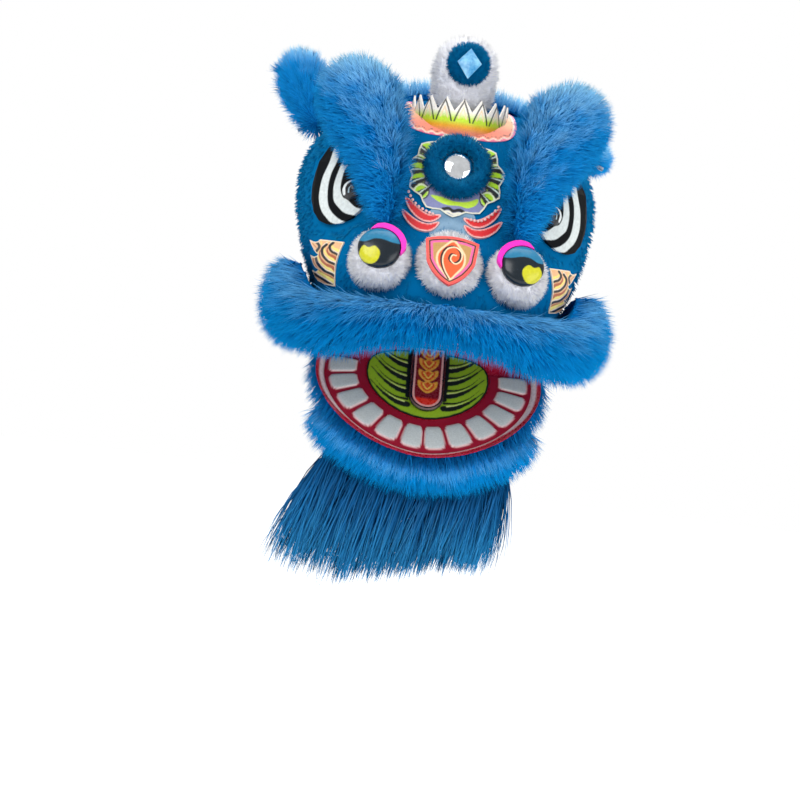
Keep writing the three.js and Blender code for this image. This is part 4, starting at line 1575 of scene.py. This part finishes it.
def jaw_paint(skin: Skin, gap: Array) -> Array:
    """Paints the jaw: red lacquer, with a pale line inside the lip that widens at both corners.

    Args:
        skin: The surface to paint.
        gap: Each point's distance from a sharp edge, in millimetres; not used.

    Returns:
        The linear colour of each point.
    """
    flat = JAW.local(skin)
    out = JAW.share(flat)
    inside = JAW.height(flat, out) > -1.5
    corner = np.clip((np.abs(flat[:, 0]) - 150) / 55, 0, 1)
    paint = Paint.ground(flat[:, :2], "#C01230")
    paint.lay((np.minimum(out - 0.905, 0.927 + 0.04 * corner - out) / 0.012 + 0.5) * inside, "#EBD9D8")
    paint.lay((0.912 - out) / 0.012 * (out > 0.88) * inside, "#8E0F24")
    return paint.colour


@dataclass(frozen=True)
class Teeth:
    """The gum ring and its row of pillowed teeth, moulded in one over the jaw's dish."""

    count: int = 12
    reach: float = 2 * math.pi * 8 / 28
    gum: tuple[float, float] = (0.56, 0.92)
    tooth: tuple[float, float] = (0.63, 0.885)
    gap: float = 0.07
    low: float = 0.8
    lift: float = 2.8
    crown: float = 4.4
    columns: int = 204
    rows: int = 28

    def place(self, share: Array, turn: Array, rise: Array) -> Array:
        """Gives places over the dish, in metres.

        Args:
            share: How far out they lie.
            turn: Their angle round the jaw.
            rise: Their height above the dish in millimetres.

        Returns:
            The places, in the frame of the CAD model.
        """
        form = JAW
        ahead = np.cos(turn) > 0
        power = np.where(ahead, form.power, form.rear_power)
        reach = np.where(ahead, form.front, form.rear)

        def bent(wave: Array) -> Array:
            """Squares a round wave off by the outline's power."""
            return np.sign(wave) * np.abs(wave) ** (2 / power)

        x = share * form.half_width * bent(np.sin(turn))
        y = -(form.middle - form.setback * (1 - share)) - share * reach * bent(np.cos(turn))
        shares, heights = zip(*form.dish)
        z = np.interp(share, shares, heights) + rise
        c, s = math.cos(math.radians(form.open)), math.sin(math.radians(form.open))
        return np.stack([x, form.y + y * c - z * s, form.z + y * s + z * c], axis=-1) * MM

    def build(self) -> bpy.types.Object:
        """Moulds the ring and the teeth, paints them and places the piece.

        Returns:
            The piece.
        """
        turns = np.linspace(-self.reach, self.reach, self.columns)
        turn, share = np.meshgrid(turns, np.linspace(*self.gum, self.rows), indexing="ij")
        cell = (turn + self.reach) / (2 * self.reach) * self.count
        side = np.abs(cell - np.floor(np.clip(cell, 0, self.count - 1e-6)) - 0.5) / (0.5 - self.gap)
        inner, outer = self.tooth
        up = np.abs(share - (inner + outer) / 2) / ((outer - inner) / 2)
        edge = (side ** 5 + up ** 5) ** 0.2
        bump = self.crown * np.sqrt(np.clip(1 - edge ** 5, 0, 1))
        top = self.place(share, turn, self.lift + bump).reshape(-1, 3)
        base = self.place(share, turn, np.full(share.shape, self.low)).reshape(-1, 3)
        at = np.arange(self.columns * self.rows).reshape(self.columns, self.rows)
        a, b, c, d = (g.reshape(-1) for g in (at[:-1, :-1], at[1:, :-1], at[1:, 1:], at[:-1, 1:]))
        faces = np.vstack([np.c_[a, b, c], np.c_[a, c, d]])
        if Skin(top, faces).face_normals()[0][:, 2].mean() < 0:
            faces = faces[:, ::-1]
        count = len(top)
        walls = Skin(top, faces).rim_walls(count)
        skin = Skin(np.vstack([top, base]), np.vstack([faces, faces[:, ::-1] + count, walls]))
        paint = Paint.ground(np.zeros((2 * count, 2)), "#9A1028")
        rim = np.tile(edge.reshape(-1), 2)
        paint.lay((1.0 - rim) * 22, "#E7C6C4")
        paint.lay((0.93 - rim) * 16, "#C2C8C6")
        return make_piece(
            "painted_gum_teeth", skin, ENAMEL, Body.JAW, ["gum_teeth"],
            paint=paint.colour, crease=60,
        )


TONGUE_PETALS = (80, 106, 132, 158)
PETAL = ((-19, -14), (-8, -10), (0, -15), (8, -10), (19, -14), (17, 2), (0, 15), (-17, 2))


def tongue_paint(skin: Skin, gap: Array) -> Array:
    """Paints the tongue: maroon with outlined gold petals, a pink outline and a red tip.

    Args:
        skin: The surface to paint.
        gap: Each point's distance from a sharp edge, in millimetres.

    Returns:
        The linear colour of each point.
    """
    flat = JAW.local(skin)
    run = -flat[:, 1]
    paint = Paint.ground(np.c_[flat[:, 0], run], "#7C1119")
    for at in TONGUE_PETALS:
        petal = [(x, at + rise) for x, rise in PETAL]
        paint.fill(petal, "#F0A83A")
        paint.fill([(x * 0.7, at + (z - at) * 0.7) for x, z in petal], "#E0561C")
        paint.line([(-9, at - 6), (0, at + 5), (9, at - 6)], 3, "#F8D25A")
    paint.lay((run - 182) / 6, "#E0301A")
    paint.band(gap, 2.5, 6.5, "#E9A9A2")
    paint.band(gap, -1, 2.4, "#150B0C")
    return paint.colour


FLOOR_LEAVES = (92, 122, 152, 182)


def floor_paint(skin: Skin, gap: Array) -> Array:
    """Paints the mouth's floor: lime green with black leaves on both sides of the tongue.

    Args:
        skin: The surface to paint.
        gap: Each point's distance from a sharp edge, in millimetres.

    Returns:
        The linear colour of each point.
    """
    flat = JAW.local(skin)
    paint = Paint.ground(np.c_[np.abs(flat[:, 0]), -flat[:, 1]], "#93B81F")
    paint.line([(36, 60), (37, 120), (36, 176)], 10, "#0C100A")
    for at in FLOOR_LEAVES:
        paint.line([(36, at + 14), (58, at + 10), (84, at - 6), (112, at - 34)], 13, "#0C100A", True)
        paint.line([(36, at + 2), (60, at - 2), (84, at - 16), (104, at - 38)], 5, "#0C100A", True)
        paint.line([(42, at + 8), (60, at + 3), (84, at - 11)], 3, "#E2F08C", True)
    paint.band(gap, -1, 3, "#101408")
    return paint.colour


@dataclass
class Applique:
    """A thin cut shape glued on the dome, given by its outline in the front view."""

    name: str
    outlines: Sequence[Array]
    finish: Painted
    slot: Slot
    painter: Callable[[Array, Array], Array]
    high: float = 2.5
    pitch: float = 2.0
    replaces: tuple[str, ...] = ()

    def cut(self, outline: Array) -> tuple[Array, Array]:
        """Fills an outline with even triangles.

        Args:
            outline: The closed outline's points.

        Returns:
            The flat points and the triangles.
        """
        low, high = outline.min(axis=0), outline.max(axis=0)
        grid = [
            (x + (row % 2) * self.pitch / 2, z)
            for row, z in enumerate(np.arange(low[1], high[1], self.pitch * 0.87))
            for x in np.arange(low[0], high[0], self.pitch)
        ]
        probe = Paint(np.array(grid), np.zeros((len(grid), 3)))
        inner = probe.flat[probe.depth(outline) > self.pitch * 0.5]
        count = len(outline)
        points = [Vector(p) for p in np.vstack([outline, inner])]
        rim = [(n, (n + 1) % count) for n in range(count)]
        made = delaunay_2d_cdt(points, rim, [], 1, 1e-5)
        return np.array([tuple(p) for p in made[0]]), np.array(made[2])

    def build(self) -> bpy.types.Object:
        """Lays the shapes on the dome, closes their edges, paints them and places the piece.

        Returns:
            The piece.
        """
        tree = dome_skin().tree()
        skins, colours = [], []
        for outline in self.outlines:
            flat, faces = self.cut(np.asarray(outline, float))
            hits = [tree.ray_cast(Vector((x * MM, -1, z * MM)), Vector((0, 1, 0))) for x, z in flat]
            place = np.array([tuple(h[0]) for h in hits])
            a, b, c = (place[faces[:, at]] for at in range(3))
            flip = np.cross(b - a, c - a)[:, 1] > 0
            faces[flip] = faces[flip][:, ::-1]
            soft = Skin(place, faces).normals()
            count = len(place)
            edge = Skin(place, faces).rim_walls(count)
            points = np.vstack([place + soft * self.high * MM, place - soft * 0.5 * MM])
            skins.append(Skin(points, np.vstack([faces, faces[:, ::-1] + count, edge])))
            probe = Paint(flat, np.zeros((count, 3)))
            colours.append(np.tile(self.painter(flat, probe.depth(np.asarray(outline, float))), (2, 1)))
        return make_piece(
            self.name, joined(skins), self.finish, Body.HEAD, self.replaces,
            paint=np.vstack(colours),
        )


def ribbon(rows: Rows, width: float) -> Array:
    """Gives the outline of a band along a line, thinning to both ends.

    Args:
        rows: The points of its middle line.
        width: Its greatest width in millimetres.

    Returns:
        The closed outline.
    """
    line = spline(rows, steps=6)
    run = unit(np.gradient(line, axis=0))
    side = np.c_[-run[:, 1], run[:, 0]]
    share = np.linspace(0, 1, len(line))
    half = width / 2 * np.clip(np.sin(math.pi * share) ** 0.45, 0.16, 1)
    return np.vstack([line + side * half[:, None], (line - side * half[:, None])[::-1]])


@dataclass
class Beads:
    """A row of small round beads along a panel's edge."""

    radius: float = 3.1
    rows: tuple[tuple[tuple[float, float], ...], ...] = (
        ((-88, 196), (-79, 181), (-66, 169), (-51, 162), (-38, 158)),
        ((36, 156), (50, 155), (63, 160), (76, 172), (87, 188)),
    )

    def build(self) -> bpy.types.Object:
        """Sets each bead on the dome and places the piece.

        Returns:
            The piece.
        """
        tree = dome_skin().tree()
        skins = []
        for row in self.rows:
            for x, z in spline(row, steps=2):
                place, facing, _, _ = tree.ray_cast(Vector((x * MM, -1, z * MM)), Vector((0, 1, 0)))
                skins.append(ball(place + facing * 0.0055, self.radius * MM))
        skin = joined(skins)
        paint = np.tile(linear("#F3C3BE"), (len(skin.points), 1))
        return make_piece("beads_forehead", skin, BALL_ENAMEL, Body.HEAD, paint=paint)


STRIPE_LINES = (
    ((22, 158), (42, 150), (60, 154), (78, 168), (93, 187)),
    ((24, 144), (42, 132), (62, 133), (80, 143), (97, 160)),
)
SATIN = ((-34, 172), (34, 172), (46, 152), (44, 126), (24, 112), (-24, 112), (-44, 126), (-46, 152))
FRINGE = (
    (-100, 380), (-112, 350), (-100, 326), (-70, 316), (-36, 314), (0, 314), (36, 314), (70, 316), (100, 326),
    (112, 350), (100, 380), (60, 346), (0, 338), (-60, 346),
)


def appliques() -> list[Applique]:
    """Lists the cut shapes glued on the dome.

    Returns:
        The shapes, in order.
    """
    rows = [
        Applique(
            "satin_snout", [spline(SATIN, True, 4)], SATIN_CLOTH, Slot.PLAQUE, satin_paint,
            high=1.2, pitch=4.0,
        ),
        Applique(
            "fringe_collar", [spline(FRINGE, True, 6)], PLAQUE_PAINT, Slot.PLAQUE, fringe_paint,
            high=1.6, pitch=2.2,
        ),
    ]
    for side, sign in (("left", 1), ("right", -1)):
        bands = [ribbon([(sign * x, z) for x, z in line], 17) for line in STRIPE_LINES]
        rows.append(Applique(
            f"painted_snout_stripe_{side}", bands, PLAQUE_PAINT, Slot.RED, stripe_paint, 4.0, 2.2,
            (f"snout_stripe_{side}",),
        ))
    return rows


def carried_over() -> None:
    """Gives the CAD parts that keep their own shape their finishes."""
    for name, kind in (
        ("hand_bar", RATTAN), ("jaw_rod", STEEL), ("ear_pin_left", STEEL), ("ear_pin_right", STEEL),
        ("horn_gem", STONE),
    ):
        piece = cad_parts[name]
        piece.data.materials.clear()
        piece.data.materials.append(finish_of(kind))
        log.info("%s: kept from the frame", name)


@dataclass
class Studio:
    """The camera, the pale floor and the soft lights."""

    azimuth: float = -3.5
    elevation: float = 2.0
    roll: float = 7.2
    distance: float = 6.0
    lens: float = 135
    aim_right: float = -0.0418
    aim_up: float = -0.2105
    floor: float = -0.95
    floor_side: float = 9.0
    sky: float = 0.72

    def axes(self) -> tuple[Vector, Vector, Vector]:
        """Gives the unrolled right, up and back directions of the view.

        Returns:
            The three directions.
        """
        a, e = math.radians(self.azimuth), math.radians(self.elevation)
        right = Vector((math.cos(a), math.sin(a), 0))
        back = Vector((math.sin(a) * math.cos(e), -math.cos(a) * math.cos(e), math.sin(e)))
        return right, back.cross(right), back

    def camera(self) -> None:
        """Sets the camera at the photograph's angle."""
        right, up, back = self.axes()
        turn = math.radians(self.roll)
        tilted_up = up * math.cos(turn) - right * math.sin(turn)
        tilted_right = up * math.sin(turn) + right * math.cos(turn)
        place = right * self.aim_right + up * self.aim_up + back * self.distance
        data = bpy.data.cameras.new("camera")
        data.lens = self.lens
        data.sensor_width = 36
        data.clip_end = 50
        holder = bpy.data.objects.new("camera", data)
        holder.matrix_world = Matrix((
            (tilted_right.x, tilted_up.x, back.x, place.x), (tilted_right.y, tilted_up.y, back.y, place.y),
            (tilted_right.z, tilted_up.z, back.z, place.z), (0, 0, 0, 1),
        ))
        bpy.context.scene.collection.objects.link(holder)
        bpy.context.scene.camera = holder

    def light(self, name: str, place: tuple[float, float, float], size: float, power: float) -> None:
        """Adds one soft light aimed at the head.

        Args:
            name: The light's name.
            place: Where it stands, in metres.
            size: Its width in metres.
            power: Its power in watts.
        """
        data = bpy.data.lights.new(name, "AREA")
        data.size = size
        data.energy = power
        holder = bpy.data.objects.new(name, data)
        holder.location = place
        holder.rotation_euler = (Vector((0, -0.1, 0)) - Vector(place)).to_track_quat("-Z", "Y").to_euler()
        bpy.context.scene.collection.objects.link(holder)

    def surround(self) -> None:
        """Makes a white sky that lights the head less than the camera sees it."""
        world = bpy.data.worlds.new("studio")
        world.use_nodes = True
        sky = world.node_tree
        path = add_node(sky, "ShaderNodeLightPath")
        power = add_node(sky, "ShaderNodeMapRange", {
            "Value": path.outputs["Is Camera Ray"], "To Min": self.sky, "To Max": 1.0
        })
        sky.links.new(power.outputs["Result"], sky.nodes["Background"].inputs["Strength"])
        sky.nodes["Background"].inputs["Color"].default_value = rgba("#FFFFFF")
        bpy.context.scene.world = world
        bpy.context.scene.view_settings.view_transform = "Standard"

    def ground(self) -> None:
        """Lays the pale floor."""
        side = self.floor_side
        corners = ((-side, -side), (side, -side), (side, side), (-side, side))
        points = np.array([(x, y, self.floor) for x, y in corners])
        sheet = Skin(points, np.array([(0, 1, 2), (0, 2, 3)]))
        ground = bpy.data.objects.new("floor", sheet.mesh("floor"))
        # Matt wall paint: pale, with no shine, and lit a little of itself so that it stays near white.
        material, tree = blank("matt_floor_paint")
        close(tree, {
            "Base Color": rgba("#F4F4F4"), "Roughness": 0.9, "Emission Color": rgba("#FFFFFF"),
            "Emission Strength": 0.45,
        })
        ground.data.materials.append(material)
        bpy.context.scene.collection.objects.link(ground)

    def build(self) -> None:
        """Sets the camera, the lights, the sky and the floor."""
        self.camera()
        self.light("key", (-2.2, -3.4, 3.0), 2.6, 105)
        self.light("fill", (2.8, -3.2, 1.0), 2.6, 55)
        self.light("top", (0.2, 0.6, 3.6), 3.0, 70)
        self.light("rim", (1.5, 3.0, 2.2), 2.0, 45)
        self.surround()
        self.ground()


def fur_bodies() -> list[FurBody]:
    """Lists the padded fleece pieces with their pile.

    Returns:
        The pieces, in order.
    """
    long_roll = Pile(25000, 46, 2.1, 0.42, spread=0.2, clump=0.35, locks=2200, steps=1, inset=18, voxel=8.5)
    brow = Pile(13500, 34, 2.0, 0.6, spread=0.22, clump=0.3, locks=1500, steps=1, inset=16, voxel=8.5)
    ear = Pile(6800, 32, 2.0, 0.35, spread=0.24, clump=0.3, locks=600, steps=1, inset=11, voxel=7)
    trim = Pile(6400, 32, 2.0, 0.6, spread=0.24, clump=0.3, locks=600, steps=1, inset=13, voxel=7)
    chin = Pile(10500, 46, 2.1, 0.3, spread=0.18, clump=0.3, locks=1000, steps=1, inset=4, voxel=7)
    plush = Pile(6000, 14, 2.2, 0.75, spread=0.25, clump=0.1, locks=700, steps=1, inset=6, voxel=6)
    disc = Pile(3500, 10, 2.0, 0.8, clump=0.1, steps=1, inset=4, voxel=4, rounds=2)
    nostril = Pile(4200, 14, 2.2, 0.75, clump=0.1, steps=1, inset=6, voxel=6)
    tops = painted_top_highlight(0.02, 0.9)
    nose_comb = brushed(0, -0.6, -0.4)
    return [
        FurBody("lip_roll", Body.HEAD, long_roll, lip_comb, seed=11),
        FurBody("brow_left", Body.HEAD, brow, brushed(0.5, -0.2, 0.1), frost=tops, seed=12),
        FurBody("brow_right", Body.HEAD, brow, brushed(-0.5, -0.2, 0.1), frost=tops, seed=13),
        FurBody("crown_trim", Body.HEAD, trim, brushed(0, 0.4, 0.8), frost=tops, seed=14),
        FurBody("ear_left", Body.EAR_LEFT, ear, away_from(0.275, 0.056, 0.316), frost=tops, seed=15),
        FurBody("ear_right", Body.EAR_RIGHT, ear, away_from(-0.275, 0.056, 0.316), frost=tops, seed=16),
        FurBody("chin_fur", Body.JAW, chin, chin_comb, seed=17, under=JAW.upward),
        FurBody(
            "horn_disc", Body.HEAD, disc, brushed(0, -1, 0), BLUE_PLUSH, Slot.BLUE_PLUSH, seed=18
        ),
        FurBody(
            "mirror_ring", Body.HEAD, plush, brushed(0, -1, 0), BLUE_PLUSH, Slot.BLUE_PLUSH, seed=19
        ),
        FurBody("horn", Body.HEAD, plush, brushed(0, -0.4, 0.6), WHITE_PLUSH, Slot.WHITE_PLUSH, seed=20),
        FurBody("nose_pad", Body.HEAD, plush, nose_comb, WHITE_PLUSH, Slot.WHITE_PLUSH, seed=21),
        FurBody("nostril_left", Body.HEAD, nostril, nose_comb, WHITE_PLUSH, Slot.WHITE_PLUSH, seed=22),
        FurBody("nostril_right", Body.HEAD, nostril, nose_comb, WHITE_PLUSH, Slot.WHITE_PLUSH, seed=23),
    ]


def panels() -> list[Panel]:
    """Lists the painted panels and hard parts.

    Returns:
        The panels, in order.
    """
    rows = [
        Panel("forehead_plate", PLAQUE_PAINT, Slot.PLAQUE, plaque_paint, 2.7),
        Panel("horn_collar", PLAQUE_PAINT, Slot.PLAQUE, collar_paint, 2.7),
        Panel("nose_crest", FLAME_PAINT, Slot.FLAME, shield_paint, 2.1),
        Panel("mirror", MIRROR_GLASS, Slot.MIRROR, plain_paint("#E4E7EA"), 5),
        Panel("lower_jaw", LACQUER, Slot.RED, jaw_paint, 6, Body.JAW),
        Panel("mouth_floor", PLAQUE_PAINT, Slot.PLAQUE, floor_paint, 2.9, Body.JAW),
        Panel("tongue", LACQUER, Slot.RED, tongue_paint, 2.1, Body.JAW),
    ]
    for side, sign in (("left", 1), ("right", -1)):
        rows += [
            Panel(f"eye_{side}", EYE_ENAMEL, Slot.BLACK, eye_paint(sign), 2.8),
            Panel(f"pupil_{side}", BALL_ENAMEL, Slot.BLACK, pupil_paint(sign), 2.0),
            Panel(f"nostril_dome_{side}", BALL_ENAMEL, Slot.NOSTRIL, dome_paint(sign), 2.7),
            Panel(f"nostril_rim_{side}", FLAME_PAINT, Slot.PINK, plain_paint("#F215B4"), 4),
            Panel(f"cheek_flame_{side}", FLAME_PAINT, Slot.FLAME, cheek_paint(sign), 2.5),
        ]
    return rows


def main() -> None:
    """Builds the studio and every piece in order."""
    logging.basicConfig(level=logging.INFO, format="%(name)s %(message)s")
    Studio().build()
    Dome().build()
    for panel in panels():
        panel.build()
    Teeth().build()
    for shape in appliques():
        shape.build()
    for fleece in fur_bodies():
        fleece.build()
    JawFringe().build()
    Beard().build()
    Beads().build()
    carried_over()
    bpy.context.view_layer.update()
    shown = [o for o in bpy.context.scene.objects if o.type == "MESH" and not o.hide_render]
    log.info("%d triangles in all", sum(len(o.data.polygons) for o in shown))


if __name__ == "__main__":
    main()
